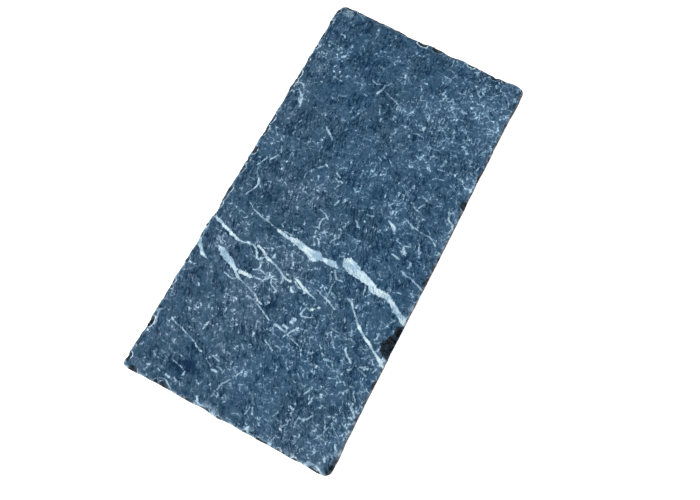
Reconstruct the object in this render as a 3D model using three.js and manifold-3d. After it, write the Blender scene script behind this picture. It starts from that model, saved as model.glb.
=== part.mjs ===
// Bluestone paver: one tumbled slab of dark blue limestone, sawn flat underneath and riven on top.
// Millimetres, +Z up. The origin is on the bedding face, under the middle of the slab.
// +Y runs along the slab and +X runs across it.
import * as THREE from 'three';
import { mergeVertices } from 'three/addons/utils/BufferGeometryUtils.js';
import Module from 'manifold-3d';

const wasm = await Module();
wasm.setup();

// ---- Driving dimensions ---------------------------------------------------------------------

const LENGTH = 600;
const WIDTH = 300;
const THICKNESS = 30;

const CELL = 9.5;            // spacing of the points that shape the riven top
const TOP_ARRIS = 3.4;       // how far in from the side the worn top edge starts
const BOTTOM_ARRIS = 2.4;    // the same along the bedding face, which tumbles less
const SIDE_WAVE = { size: 14, height: 0.45, seed: 97 };     // how the sawn sides wander in and out

// The riven top: broad swells, lumps and knobs on thin split layers.
const SWELL = { size: 95, height: 0.5, seed: 11 };
const LUMP = { size: 34, height: 0.6, seed: 23 };
const KNOB = { size: 19, height: 0.7, seed: 37 };
const LAYER = { size: 64, levels: 4, rise: 0.6, edge: 0.12, seed: 53 };

// Corners that tumbling has rounded, as a radius for each.
const CORNERS = [
  { x: -1, y: 1, radius: 10 },
  { x: 1, y: 1, radius: 9 },
  { x: 1, y: -1, radius: 9.5 },
  { x: -1, y: -1, radius: 4 },
];

// The four sides. "out" points away from the slab, "along" is the way that "at" is measured, "half" is
// the distance from the middle, and "row" gives each side a row of the noise to itself.
const SIDES = {
  left: { out: [-1, 0], along: [0, 1], half: WIDTH / 2, length: LENGTH, row: 0 },
  right: { out: [1, 0], along: [0, 1], half: WIDTH / 2, length: LENGTH, row: 50 },
  far: { out: [0, 1], along: [1, 0], half: LENGTH / 2, length: WIDTH, row: 100 },
  near: { out: [0, -1], along: [1, 0], half: LENGTH / 2, length: WIDTH, row: 150 },
};

// Where the outline stands proud of its straight line (out above 0) or falls short of it.
const OUTLINE = {
  left: [
    { at: -245, reach: 7, out: -1.6 }, { at: -219, reach: 10, out: -1.4 },
    { at: -168, reach: 9, out: 1.3 }, { at: -115, reach: 10, out: -1.8 },
    { at: -90, reach: 12, out: 0.9 }, { at: -63, reach: 16, out: -3.1 },
    { at: -36, reach: 19, out: 1.4 }, { at: 61, reach: 6, out: -0.9 },
    { at: 122, reach: 17, out: -1.0 }, { at: 146, reach: 10, out: 1.6 },
    { at: 186, reach: 14, out: -0.7 }, { at: 268, reach: 20, out: 0.8 },
  ],
  right: [
    { at: -274, reach: 28, out: 1.3 }, { at: -190, reach: 40, out: -0.5 },
    { at: 60, reach: 60, out: 0.4 }, { at: 200, reach: 30, out: -0.4 },
    { at: 279, reach: 24, out: 1.4 },
  ],
  far: [
    { at: -124, reach: 20, out: 0.9 }, { at: -78, reach: 22, out: 0.8 },
    { at: -28, reach: 15, out: -1.8 }, { at: 8, reach: 12, out: 0.9 },
    { at: 48, reach: 14, out: 0.6 }, { at: 92, reach: 12, out: -0.5 },
    { at: 134, reach: 16, out: 1.4 },
  ],
  near: [
    { at: -134, reach: 16, out: 1.0 }, { at: -75, reach: 10, out: -0.9 },
    { at: -33, reach: 12, out: -2.3 }, { at: -8, reach: 14, out: 0.9 },
    { at: 38, reach: 26, out: 0.8 }, { at: 96, reach: 16, out: 0.7 },
    { at: 130, reach: 12, out: 1.1 },
  ],
};

// Chips knocked out of the top edge: where, how long, how far in over the top and how far down the side.
const CHIPS = {
  left: [
    { at: -287, long: 14, inward: 5, drop: 7 }, { at: -262, long: 8, inward: 2.4, drop: 4 },
    { at: -234, long: 15, inward: 5, drop: 8 }, { at: -218, long: 14, inward: 3, drop: 5 },
    { at: -199, long: 7, inward: 2.6, drop: 4 }, { at: -176, long: 9, inward: 3.4, drop: 5 },
    { at: -153, long: 8, inward: 3.2, drop: 5 }, { at: -141, long: 9, inward: 3, drop: 6 },
    { at: -104, long: 8, inward: 2.4, drop: 4 }, { at: -84, long: 9, inward: 3, drop: 6 },
    { at: -57, long: 9, inward: 3.6, drop: 5 }, { at: -38, long: 6, inward: 3.4, drop: 6 },
    { at: -24, long: 10, inward: 3.2, drop: 7 }, { at: -6, long: 8, inward: 2.6, drop: 4 },
    { at: 19, long: 8, inward: 3.2, drop: 5 }, { at: 37, long: 15, inward: 4.8, drop: 8 },
    { at: 70, long: 9, inward: 3.2, drop: 6 }, { at: 90, long: 12, inward: 3, drop: 6 },
    { at: 108, long: 7, inward: 2.6, drop: 4 }, { at: 151, long: 10, inward: 4, drop: 7 },
    { at: 171, long: 12, inward: 3.4, drop: 7 }, { at: 197, long: 8, inward: 3.6, drop: 5 },
    { at: 223, long: 9, inward: 3.2, drop: 5 }, { at: 263, long: 11, inward: 4, drop: 6 },
  ],
  right: [
    { at: -219, long: 13, inward: 4.6, drop: 7 }, { at: -200, long: 12, inward: 4, drop: 8 },
    { at: -174, long: 15, inward: 6.5, drop: 9 }, { at: -151, long: 8, inward: 3, drop: 5 },
    { at: -56, long: 12, inward: 3, drop: 6 }, { at: -21, long: 13, inward: 7, drop: 10 },
    { at: 1, long: 14, inward: 5, drop: 8 }, { at: 16, long: 9, inward: 4, drop: 6 },
    { at: 46, long: 10, inward: 2.8, drop: 5 }, { at: 86, long: 13, inward: 3.6, drop: 7 },
    { at: 103, long: 14, inward: 9, drop: 10 }, { at: 128, long: 9, inward: 2.8, drop: 5 },
    { at: 150, long: 18, inward: 4.4, drop: 8 }, { at: 183, long: 12, inward: 3.2, drop: 6 },
    { at: 212, long: 10, inward: 3, drop: 5 }, { at: 238, long: 12, inward: 4, drop: 7 },
    { at: 257, long: 11, inward: 3.6, drop: 8 }, { at: 272, long: 9, inward: 3.8, drop: 7 },
  ],
  far: [
    { at: -137, long: 16, inward: 5, drop: 9 }, { at: -123, long: 9, inward: 4, drop: 6 },
    { at: -96, long: 9, inward: 3.2, drop: 6 }, { at: -46, long: 11, inward: 3, drop: 7 },
    { at: -14, long: 15, inward: 7, drop: 10 }, { at: 8, long: 13, inward: 4, drop: 8 },
    { at: 29, long: 16, inward: 3.6, drop: 8 }, { at: 63, long: 9, inward: 4.2, drop: 6 },
    { at: 95, long: 9, inward: 5.2, drop: 7 }, { at: 105, long: 11, inward: 7, drop: 8 },
    { at: 118, long: 8, inward: 3, drop: 5 },
  ],
  near: [
    { at: -138, long: 14, inward: 7.5, drop: 10 }, { at: -116, long: 8, inward: 3, drop: 5 },
    { at: -102, long: 7, inward: 3.8, drop: 6 }, { at: -90, long: 17, inward: 7, drop: 9 },
    { at: -63, long: 7, inward: 3.8, drop: 5 }, { at: -52, long: 15, inward: 3.2, drop: 7 },
    { at: -31, long: 17, inward: 4, drop: 6 }, { at: -8, long: 9, inward: 3.4, drop: 6 },
    { at: 29, long: 8, inward: 4.4, drop: 5 }, { at: 51, long: 15, inward: 4, drop: 8 },
    { at: 77, long: 12, inward: 3, drop: 6 }, { at: 101, long: 9, inward: 3.6, drop: 5 },
    { at: 130, long: 20, inward: 4.8, drop: 7 },
  ],
};

// The big spall on the right edge: one deep bite and a shallower one beside it.
const SPALL = [
  { side: 'right', at: -123, long: 27, inward: 18.5, drop: 19 },
  { side: 'right', at: -101, long: 30, inward: 10.5, drop: 16 },
];

// Small chips spread along the bottom edge of every side, clear of its corners.
const FOOT_CHIPS = { spacing: 72, clear: 30, long: [8, 15], inward: [2.5, 4.5], rise: [3.5, 6.5], seed: 71 };

// Pits in the top, where a lump of the layer above pulled away.
const PITS = [
  { x: -26, y: -144, long: 9, wide: 5, deep: 1.6, turn: 110 },
  { x: 30, y: 241, long: 14, wide: 8, deep: 1.1, turn: 60 },
  { x: -84, y: -268, long: 26, wide: 14, deep: 1.3, turn: 150 },
  { x: -70, y: 205, long: 20, wide: 9, deep: 1.0, turn: 115 },
  { x: 24, y: 22, long: 24, wide: 8, deep: 1.0, turn: 125 },
  { x: -82, y: 44, long: 30, wide: 9, deep: 1.0, turn: 118 },
  { x: 100, y: -250, long: 18, wide: 10, deep: 1.1, turn: 70 },
];

// The hollow left by a chip is part of a rough ball, centred a little outside the stone.
const CHIP_LEVEL = THICKNESS - 0.4;     // height of the worn edge that the top chips come off
const SCOOP_SKEW = 0.35;      // how far outside the stone the ball is centred, in chip depths
const PIT_LIFT = 0.6;         // how far above the top a pit's ball is centred, in ball half heights
const SCOOP_ROUGH = 0.09;     // how uneven the broken face is, as a share of its size
const FINE_SCOOP = 17;        // chips and pits at least this long are cut with the finer ball
const FLAT_LOSS = 1.12;       // makes up for the flat faces of the coarse ball

// ---- Repeatable noise -----------------------------------------------------------------------

function hash(ix, iy, seed) {
  let h = Math.imul(ix, 374761393) ^ Math.imul(iy, 668265263) ^ Math.imul(seed, 1274126177);
  h = Math.imul(h ^ (h >>> 13), 1103515245);
  h = Math.imul(h ^ (h >>> 15), 747796405);
  return ((h ^ (h >>> 16)) >>> 0) / 4294967295;
}

const ease = (t) => t * t * (3 - 2 * t);

// Smooth noise from 0 to 1, with bumps about "size" across.
function noise(x, y, size, seed) {
  const ix = Math.floor(x / size);
  const iy = Math.floor(y / size);
  const tx = ease(x / size - ix);
  const ty = ease(y / size - iy);
  const low = THREE.MathUtils.lerp(hash(ix, iy, seed), hash(ix + 1, iy, seed), tx);
  const high = THREE.MathUtils.lerp(hash(ix, iy + 1, seed), hash(ix + 1, iy + 1, seed), tx);
  return THREE.MathUtils.lerp(low, high, ty);
}

// ---- Shape of the slab ----------------------------------------------------------------------

// Noise from -height to +height.
const wander = (x, y, { size, height, seed }) => (2 * noise(x, y, size, seed) - 1) * height;

// Height of the riven top above its mean, in mm.
function relief(x, y) {
  const layers = noise(x, y, LAYER.size, LAYER.seed) * LAYER.levels;
  const whole = Math.floor(layers);
  const step = THREE.MathUtils.smoothstep(layers - whole, 0.5 - LAYER.edge, 0.5 + LAYER.edge);
  const split = (whole + step - LAYER.levels / 2) * LAYER.rise;
  return split + wander(x, y, SWELL) + wander(x, y, LUMP) + wander(x, y, KNOB);
}

// How far the outline of one side stands proud of its straight line, in mm.
function proud(side, at) {
  let out = wander(at, SIDES[side].row, SIDE_WAVE);
  for (const bay of OUTLINE[side]) {
    const t = (at - bay.at) / bay.reach;
    if (Math.abs(t) < 1) out += bay.out * (1 - t * t) ** 2;
  }
  return out;
}

// The point of the outline that belongs to (x, y) on the plain rectangle, and the way out from it.
function rim(x, y) {
  const halfW = WIDTH / 2;
  const halfL = LENGTH / 2;
  const corner = CORNERS.find((c) => c.x === Math.sign(x) && c.y === Math.sign(y));
  const point = new THREE.Vector2(x, y);
  const out = new THREE.Vector2();
  const radius = corner ? corner.radius : 0;
  if (corner && Math.abs(x) > halfW - radius && Math.abs(y) > halfL - radius) {
    const centre = new THREE.Vector2(corner.x * (halfW - radius), corner.y * (halfL - radius));
    out.subVectors(point, centre).normalize();
    point.copy(centre).addScaledVector(out, radius);
  } else if (halfW - Math.abs(x) < halfL - Math.abs(y)) {
    out.set(Math.sign(x), 0);
  } else {
    out.set(0, Math.sign(y));
  }
  const across = proud(out.x < 0 ? 'left' : 'right', y) * out.x ** 2;
  const lengthways = proud(out.y < 0 ? 'near' : 'far', x) * out.y ** 2;
  point.addScaledVector(out, across + lengthways);
  return { point, out };
}

// The levels down the side: height above the bedding face, and how far in from the outline.
const LEVELS = [
  { z: THICKNESS - 1.1, inset: 1.0 },
  { z: THICKNESS - 3.8, inset: 0.15 },
  { z: THICKNESS * 0.6, inset: 0 },
  { z: THICKNESS * 0.32, inset: 0.1 },
  { z: 2.6, inset: 0.2 },
  { z: 0, inset: BOTTOM_ARRIS },
];

function slabGeometry() {
  const columns = Math.round((WIDTH - 2 * TOP_ARRIS) / CELL);
  const rows = Math.round((LENGTH - 2 * TOP_ARRIS) / CELL);
  const halfW = WIDTH / 2;
  const halfL = LENGTH / 2;
  const positions = [];
  const index = [];

  // Points of the top: the outermost ones follow the outline, one arris width in.
  const node = (i, j) => j * (columns + 1) + i;
  for (let j = 0; j <= rows; j++) {
    for (let i = 0; i <= columns; i++) {
      const x = (i / columns - 0.5) * WIDTH;
      const y = (j / rows - 0.5) * LENGTH;
      let px = x * (1 - TOP_ARRIS / halfW);
      let py = y * (1 - TOP_ARRIS / halfL);
      if (i === 0 || j === 0 || i === columns || j === rows) {
        const { point, out } = rim(x, y);
        px = point.x - out.x * TOP_ARRIS;
        py = point.y - out.y * TOP_ARRIS;
      }
      positions.push(px, py, THICKNESS + relief(px, py));
    }
  }
  for (let j = 0; j < rows; j++) {
    for (let i = 0; i < columns; i++) {
      const [a, b, c, d] = [node(i, j), node(i + 1, j), node(i + 1, j + 1), node(i, j + 1)];
      if (hash(i, j, LUMP.seed) < 0.5) index.push(a, b, c, a, c, d);
      else index.push(a, b, d, b, c, d);
    }
  }

  // The edge of the top, counterclockwise from above, and the same loop at each level below it.
  const loop = [];
  for (let i = 0; i < columns; i++) loop.push([i, 0]);
  for (let j = 0; j < rows; j++) loop.push([columns, j]);
  for (let i = columns; i > 0; i--) loop.push([i, rows]);
  for (let j = rows; j > 0; j--) loop.push([0, j]);
  let above = loop.map(([i, j]) => node(i, j));
  LEVELS.forEach((level, depth) => {
    const below = loop.map(([i, j], step) => {
      const { point, out } = rim((i / columns - 0.5) * WIDTH, (j / rows - 0.5) * LENGTH);
      const wave = level.z === 0 ? 0 : wander(step * CELL, (depth + 1) * 1000, SIDE_WAVE);
      const inset = level.inset + wave;
      const lift = relief(point.x, point.y) * (level.z / THICKNESS) ** 4;
      positions.push(point.x - out.x * inset, point.y - out.y * inset, level.z + lift);
      return positions.length / 3 - 1;
    });
    above.forEach((a, n) => {
      const next = (n + 1) % above.length;
      index.push(a, below[n], below[next], a, below[next], above[next]);
    });
    above = below;
  });

  // The sawn bedding face: one large flat middle, and a flat band out to the edge.
  const outer = above.map((n) => new THREE.Vector2(positions[3 * n], positions[3 * n + 1]));
  const corners = [[-120, -180], [-120, 240], [90, 240], [90, -180]];
  const middle = corners.map(([x, y]) => new THREE.Vector2(x, y));
  const first = positions.length / 3;
  middle.forEach((p) => positions.push(p.x, p.y, 0));
  const names = [...above, first, first + 1, first + 2, first + 3];
  for (const [a, b, c] of THREE.ShapeUtils.triangulateShape(outer, [middle])) {
    index.push(names[a], names[c], names[b]);
  }
  index.push(first, first + 1, first + 2, first, first + 2, first + 3);

  const geometry = new THREE.BufferGeometry();
  geometry.setAttribute('position', new THREE.Float32BufferAttribute(positions, 3));
  geometry.setIndex(index);
  return geometry;
}

// ---- Chips and pits -------------------------------------------------------------------------

// A ball of half sizes (length, width, height) with an uneven surface, turned to a basis and placed.
function scoop(halves, basis, centre, seed) {
  const fine = 2 * halves.x >= FINE_SCOOP;
  const ball = new THREE.IcosahedronGeometry(fine ? 1 : FLAT_LOSS, fine ? 1 : 0);
  ball.deleteAttribute('normal');
  ball.deleteAttribute('uv');
  const geometry = mergeVertices(ball);
  const position = geometry.getAttribute('position');
  const p = new THREE.Vector3();
  for (let n = 0; n < position.count; n++) {
    const rough = 1 + SCOOP_ROUGH * (2 * hash(n, seed, 3) - 1);
    p.fromBufferAttribute(position, n).multiplyScalar(rough).multiply(halves);
    position.setXYZ(n, p.x, p.y, p.z);
  }
  geometry.applyMatrix4(basis.clone().setPosition(centre));
  return geometry;
}

// A chip at an edge. "level" is the height of that edge, and "down" is -1 where the stone lies below
// it and 1 where the stone lies above it.
function edgeChip({ side, at, long, inward, drop }, level, down, seed) {
  const { out, along, half } = SIDES[side];
  const up = new THREE.Vector3(0, 0, 1);
  const outward = new THREE.Vector3(out[0], out[1], 0);
  const into = outward.clone().negate();
  const basis = new THREE.Matrix4().makeBasis(into.clone().cross(up), into, up);
  const edge = half + proud(side, at);
  const reach = Math.hypot(1 + SCOOP_SKEW, SCOOP_SKEW);
  const lengthShare = Math.sqrt(1 - 2 * (SCOOP_SKEW / reach) ** 2);
  const halves = new THREE.Vector3(long / 2 / lengthShare, inward * reach, drop * reach);
  const centre = new THREE.Vector3(along[0], along[1], 0).multiplyScalar(at);
  centre.addScaledVector(outward, edge + inward * SCOOP_SKEW);
  centre.z = level - down * drop * SCOOP_SKEW;
  return scoop(halves, basis, centre, seed);
}

function pit({ x, y, long, wide, deep, turn }, seed) {
  const reach = 1 / Math.sqrt(1 - PIT_LIFT ** 2);
  const high = deep / (1 - PIT_LIFT);
  const halves = new THREE.Vector3((long / 2) * reach, (wide / 2) * reach, high);
  const basis = new THREE.Matrix4().makeRotationZ(THREE.MathUtils.degToRad(turn));
  const surface = THICKNESS + relief(x, y);
  return scoop(halves, basis, new THREE.Vector3(x, y, surface + high * PIT_LIFT), seed);
}

function* cutters() {
  let seed = 1;
  for (const [side, chips] of Object.entries(CHIPS)) {
    for (const chip of chips) yield edgeChip({ side, ...chip }, CHIP_LEVEL, -1, seed++);
  }
  for (const bite of SPALL) yield edgeChip(bite, CHIP_LEVEL, -1, seed++);
  for (const hollow of PITS) yield pit(hollow, seed++);
  const pick = ([low, high]) => THREE.MathUtils.lerp(low, high, hash(seed, high * 10, FOOT_CHIPS.seed));
  for (const [side, { length }] of Object.entries(SIDES)) {
    const run = length - 2 * FOOT_CHIPS.clear;
    const count = Math.round(run / FOOT_CHIPS.spacing);
    for (let n = 0; n < count; n++) {
      const jitter = hash(n, seed, FOOT_CHIPS.seed);
      const at = ((n + jitter) / count - 0.5) * run;
      const long = pick(FOOT_CHIPS.long);
      const inward = pick(FOOT_CHIPS.inward);
      const drop = pick(FOOT_CHIPS.rise);
      yield edgeChip({ side, at, long, inward, drop }, 0, 1, seed++);
    }
  }
}

// ---- Cutting --------------------------------------------------------------------------------

function solid(geometry) {
  const vertProperties = Float32Array.from(geometry.getAttribute('position').array);
  const triVerts = Uint32Array.from(geometry.getIndex().array);
  return new wasm.Manifold(new wasm.Mesh({ numProp: 3, vertProperties, triVerts }));
}

function geometryOf(manifold) {
  const { vertProperties, triVerts } = manifold.getMesh();
  const geometry = new THREE.BufferGeometry();
  geometry.setAttribute('position', new THREE.BufferAttribute(Float32Array.from(vertProperties), 3));
  geometry.setIndex(new THREE.BufferAttribute(Uint32Array.from(triVerts), 1));
  return geometry;
}

// Brings the slab to its stated size, with the bedding face at z = 0.
function dressToSize(geometry) {
  geometry.computeBoundingBox();
  const { min, max } = geometry.boundingBox;
  geometry.translate(-(min.x + max.x) / 2, -(min.y + max.y) / 2, -min.z);
  geometry.scale(WIDTH / (max.x - min.x), LENGTH / (max.y - min.y), THICKNESS / (max.z - min.z));
  return geometry;
}

function paver() {
  let stone = solid(slabGeometry());
  for (const cutter of cutters()) stone = stone.subtract(solid(cutter));
  const geometry = dressToSize(geometryOf(stone));
  geometry.computeVertexNormals();
  const bluestone = new THREE.MeshStandardMaterial({ color: '#3f5a74', roughness: 0.8, metalness: 0 });
  const mesh = new THREE.Mesh(geometry, bluestone);
  mesh.name = 'paver';
  return mesh;
}

const slab = new THREE.Group();
slab.add(paver());

export default slab;
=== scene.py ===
# %% [markdown]
# # A tumbled bluestone paver
#
# This lesson builds one paving slab of dark blue limestone. The real slab was sawn flat underneath,
# split along a bed on top, and then tumbled with other slabs in a drum, which wore its edges round and
# knocked chips out of them. White calcite fills the old cracks in the stone.
#
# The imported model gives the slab's real size, and everything here is fitted to its box. The stone is
# worked out in millimetres, as a mason would, and turned to metres only when the mesh is made.

# %% Load the frame
import math

import bpy
import numpy as np
from mathutils import Matrix, Vector


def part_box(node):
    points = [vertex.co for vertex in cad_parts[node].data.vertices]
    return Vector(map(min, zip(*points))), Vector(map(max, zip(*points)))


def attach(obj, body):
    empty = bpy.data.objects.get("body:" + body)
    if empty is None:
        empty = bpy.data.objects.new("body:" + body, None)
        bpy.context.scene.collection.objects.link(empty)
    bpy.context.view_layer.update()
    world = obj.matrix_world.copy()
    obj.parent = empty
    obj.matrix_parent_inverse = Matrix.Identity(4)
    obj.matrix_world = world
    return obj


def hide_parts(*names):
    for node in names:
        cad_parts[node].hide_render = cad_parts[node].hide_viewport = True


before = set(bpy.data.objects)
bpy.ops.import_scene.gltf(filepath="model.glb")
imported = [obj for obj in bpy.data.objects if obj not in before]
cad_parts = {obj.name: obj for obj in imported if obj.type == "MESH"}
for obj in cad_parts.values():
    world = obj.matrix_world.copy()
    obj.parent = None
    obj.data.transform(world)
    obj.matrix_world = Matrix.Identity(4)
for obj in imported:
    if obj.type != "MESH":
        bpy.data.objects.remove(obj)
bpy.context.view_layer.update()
MM = 0.001
low, high = (np.array(corner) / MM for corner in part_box("paver"))
WIDTH, LENGTH, THICKNESS = high - low
print("slab, mm:", WIDTH.round(1), LENGTH.round(1), THICKNESS.round(1))

# %% [markdown]
# ## Repeatable noise
#
# Stone has no pattern that repeats, but a script has to give the same slab each time it runs. So every
# bump comes from a hash: whole numbers go in, and a number from 0 to 1 comes out that looks random and
# is always the same. Smoothing it between the corners of square cells gives soft hills of one size, and
# doing that on two levels and blending between them gives noise in three dimensions.

# %% Hash and smooth noise
WORD = 0xFFFFFFFF


def hashed(ix, iy, seed):
    """A repeatable number from 0 to 1 for each pair of whole numbers. Large odd factors mix the bits."""
    h = (ix * 374761393) & WORD ^ (iy * 668265263) & WORD ^ (seed * 1274126177) & WORD
    h = ((h ^ (h >> 13)) * 1103515245) & WORD
    h = ((h ^ (h >> 15)) * 747796405) & WORD
    return (h ^ (h >> 16)) / WORD


def hills(x, y, size, seed):
    """Smooth noise from 0 to 1 over the plane, with hills about size across."""
    ix = np.floor(x / size).astype(np.int64)
    iy = np.floor(y / size).astype(np.int64)
    tx = x / size - ix
    ty = y / size - iy
    tx, ty = tx * tx * (3 - 2 * tx), ty * ty * (3 - 2 * ty)
    front = hashed(ix, iy, seed) * (1 - tx) + hashed(ix + 1, iy, seed) * tx
    back = hashed(ix, iy + 1, seed) * (1 - tx) + hashed(ix + 1, iy + 1, seed) * tx
    return front * (1 - ty) + back * ty


def lumps(points, size, seed):
    """Smooth noise from -1 to 1 in space, with lumps about size across."""
    x, y, z = points.T
    level = np.floor(z / size).astype(np.int64)
    t = z / size - level
    t = t * t * (3 - 2 * t)
    below = hills(x, y, size, seed + level * 101)
    above = hills(x, y, size, seed + (level + 1) * 101)
    return 2 * (below * (1 - t) + above * t) - 1


check = hills(np.arange(0.0, 300.0), np.arange(0.0, 300.0), 34, 23)
print("hills run from", check.min().round(2), "to", check.max().round(2))

# %% [markdown]
# ## The riven top
#
# A split bed of limestone isn't smooth. It has broad swells, lumps the size of a coin, and thin layers
# that end in low steps. These are the same swells, lumps and steps that the slab's solid model has, so
# that the fine skin made here lies on it everywhere.

# %% Height of the riven top
SWELL = dict(size=95, height=0.5, seed=11)
LUMP = dict(size=34, height=0.6, seed=23)
KNOB = dict(size=19, height=0.7, seed=37)
LAYER = dict(size=64, levels=4, rise=0.6, edge=0.12, seed=53)


def wander(x, y, wave):
    """Noise from minus the wave's height to plus it."""
    return (2 * hills(x, y, wave["size"], wave["seed"]) - 1) * wave["height"]


def smooth_step(value, start, end):
    """A soft step from 0 at start to 1 at end."""
    t = np.clip((value - start) / (end - start), 0, 1)
    return t * t * (3 - 2 * t)


def terraces(x, y, wave):
    """How many thin layers lie under each point, with a soft step where one ends."""
    layers = hills(x, y, wave["size"], wave["seed"]) * wave["levels"]
    whole = np.floor(layers)
    return whole + smooth_step(layers - whole, 0.5 - wave["edge"], 0.5 + wave["edge"])


def riven(x, y):
    """Height of the split top above its mean, in mm."""
    split = (terraces(x, y, LAYER) - LAYER["levels"] / 2) * LAYER["rise"]
    return split + wander(x, y, SWELL) + wander(x, y, LUMP) + wander(x, y, KNOB)


check = riven(np.arange(-150.0, 150.0), np.arange(-150.0, 150.0))
print("riven top, mm:", check.min().round(2), "to", check.max().round(2))

# %% [markdown]
# ## The worn outline
#
# Seen from above, a tumbled slab is a rectangle whose sides wander by a millimetre or so and whose
# corners are rounded, each by its own amount. Each side is a list of shallow bays and swells: where the
# middle is, how far it reaches to both sides, and how far the edge stands out there.

# %% Outline of the slab
CORNER_RADII = {(-1, 1): 15.0, (1, 1): 9.0, (1, -1): 9.5, (-1, -1): 7.0}      # left is -1, near is -1
SIDE_WAVE = dict(size=14, height=0.45, seed=97)
NOISE_ROW = dict(left=0, right=50, far=100, near=150)      # gives each side noise of its own
OUTLINE = dict(
    left=[(-245, 7, -0.5), (-219, 10, -0.6), (-168, 9, 0.5), (-118, 12, -1.0), (-92, 16, 0.7),
          (-63, 14, -2.2), (-36, 19, 0.7), (61, 6, -0.7), (122, 17, -1.0), (146, 10, 1.4),
          (186, 14, -0.8), (268, 20, 1.1)],
    right=[(-274, 28, 1.3), (-190, 40, -0.5), (60, 60, 0.4), (200, 30, -0.4), (279, 24, 1.4)],
    far=[(-124, 20, 0.9), (-78, 22, 0.8), (-28, 15, -1.8), (8, 12, 0.9), (48, 14, 0.6), (92, 12, -0.5),
         (134, 16, 1.4)],
    near=[(-134, 16, 1.0), (-75, 10, -0.6), (-33, 12, -0.7), (-8, 14, 0.9), (38, 26, 0.8), (96, 16, 0.7),
          (130, 12, 1.1)],
)


def proud(side, at):
    """How far the outline of one side stands out from its straight line, in mm."""
    out = wander(at, np.full_like(at, NOISE_ROW[side]), SIDE_WAVE)
    for middle, reach, amount in OUTLINE[side]:
        t = np.clip((at - middle) / reach, -1, 1)
        out = out + amount * (1 - t * t) ** 2
    return out


print("bays and swells:", sum(len(row) for row in OUTLINE.values()))

# %% [markdown]
# ## From a drawing to the slab
#
# All the marks below were measured on a flat drawing of the slab's outline. The split face is nearer to
# the eye than the foot of the slab, so on that drawing it comes out about one percent too large and a
# little moved. This small function takes a place on the drawing to the place on the split face.

# %% Places on the drawing, taken to the slab
def on_slab(x, y):
    """The place on the split face for a place on the drawing, both in mm."""
    return 0.981 * x + 2.4, 0.9888 * y - 1.0 - 0.0041 * x - 0.000015 * x * y


def along_side(side, at):
    """The same for a place along one side."""
    if side in ("left", "right"):
        return on_slab(-150 if side == "left" else 150, at)[1]
    return on_slab(at, -300 if side == "near" else 300)[0]


print("the far right corner moves to", [round(v, 1) for v in on_slab(150, 300)])

# %% [markdown]
# ## A grid of points with round corners
#
# The top is a grid of points. Near a corner the grid has to bend from a square corner to a round one
# without crossing itself. Around each corner's centre, every square ring of the grid is pulled in to a
# circle of the same size: the direction from the centre is kept, and the length becomes the larger of
# the two distances along x and y. The same rule gives each point its way out of the slab.

# %% Grid of the top
SPACING = 1.62          # mm from one point of the grid to the next
TOP_ARRIS = 3.4         # how far in from the side the worn top edge starts, in mm
columns = round((WIDTH - 2 * TOP_ARRIS) / SPACING)
rows = round((LENGTH - 2 * TOP_ARRIS) / SPACING)
half_width, half_length = WIDTH / 2, LENGTH / 2


def rounded(x, y):
    """The grid point moved to fit round corners, and its way out."""
    px, py = x.copy(), y.copy()
    nearer_end = half_length - np.abs(y) < half_width - np.abs(x)
    ox, oy = np.where(nearer_end, 0, np.sign(x)), np.where(nearer_end, np.sign(y), 0)
    for (sx, sy), radius in CORNER_RADII.items():
        dx = sx * x - (half_width - radius)
        dy = sy * y - (half_length - radius)
        here = (dx > 0) & (dy > 0)
        length = np.hypot(dx, dy)[here]
        pull = np.maximum(dx, dy)[here] / length
        px[here] = sx * (half_width - radius + dx[here] * pull)
        py[here] = sy * (half_length - radius + dy[here] * pull)
        ox[here], oy[here] = sx * dx[here] / length, sy * dy[here] / length
    return px, py, ox, oy


def outline_shift(px, py, ox, oy):
    """How far the outline near each point stands out, blended round the corners."""
    across = np.where(ox < 0, proud("left", py), proud("right", py))
    lengthways = np.where(oy < 0, proud("near", px), proud("far", px))
    return across * ox ** 2 + lengthways * oy ** 2


u = np.linspace(-half_width + TOP_ARRIS, half_width - TOP_ARRIS, columns + 1)
v = np.linspace(-half_length + TOP_ARRIS, half_length - TOP_ARRIS, rows + 1)
grid_x, grid_y = (a.ravel() for a in np.meshgrid(u, v))
FADE = 9.0      # how far in from the edge the grid follows its bays and swells, in mm
inside = np.minimum(u[-1] - np.abs(grid_x), v[-1] - np.abs(grid_y))
top_x, top_y, out_x, out_y = rounded(grid_x, grid_y)
shift = outline_shift(top_x, top_y, out_x, out_y)
fade = 1 - smooth_step(inside, 0, FADE)
top = np.stack([top_x + out_x * shift * fade, top_y + out_y * shift * fade], 1)
print("grid of the top:", columns, "by", rows, "cells,", len(top), "points")

# %% [markdown]
# ## Rings down the sides
#
# Below the top come rings of points that go round the slab. Their insets draw the worn top edge, the
# nearly straight sawn side and the small round edge at the foot. Each ring uses the same points of the
# grid's border, so that every ring fits the next one point for point.

# %% Rings of the sides
BOTTOM_ARRIS = 2.4      # how far in the worn edge at the foot ends, in mm
ARRIS_DROP = 2.6        # how far down the worn top edge goes, in mm
SAWN = dict(start=4.2, end=2.4, gap=1.75)      # mm from the top, mm from the bed, and between rings
arris_turns = np.radians([18, 34, 50, 66, 82])
# Height and inset of each ring, from the top down.
profile = [(THICKNESS - ARRIS_DROP * (1 - math.cos(a)), TOP_ARRIS * (1 - math.sin(a)))
           for a in arris_turns]
profile += [(z, 0.0) for z in np.arange(THICKNESS - SAWN["start"], SAWN["end"], -SAWN["gap"])]
profile += [(1.7, 0.25), (0.7, 0.9), (0.0, BOTTOM_ARRIS)]
UNDERSIDE_RINGS = [2.2, 4.6, 8.0]      # how far in the flat rings of the sawn bed lie, in mm

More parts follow.
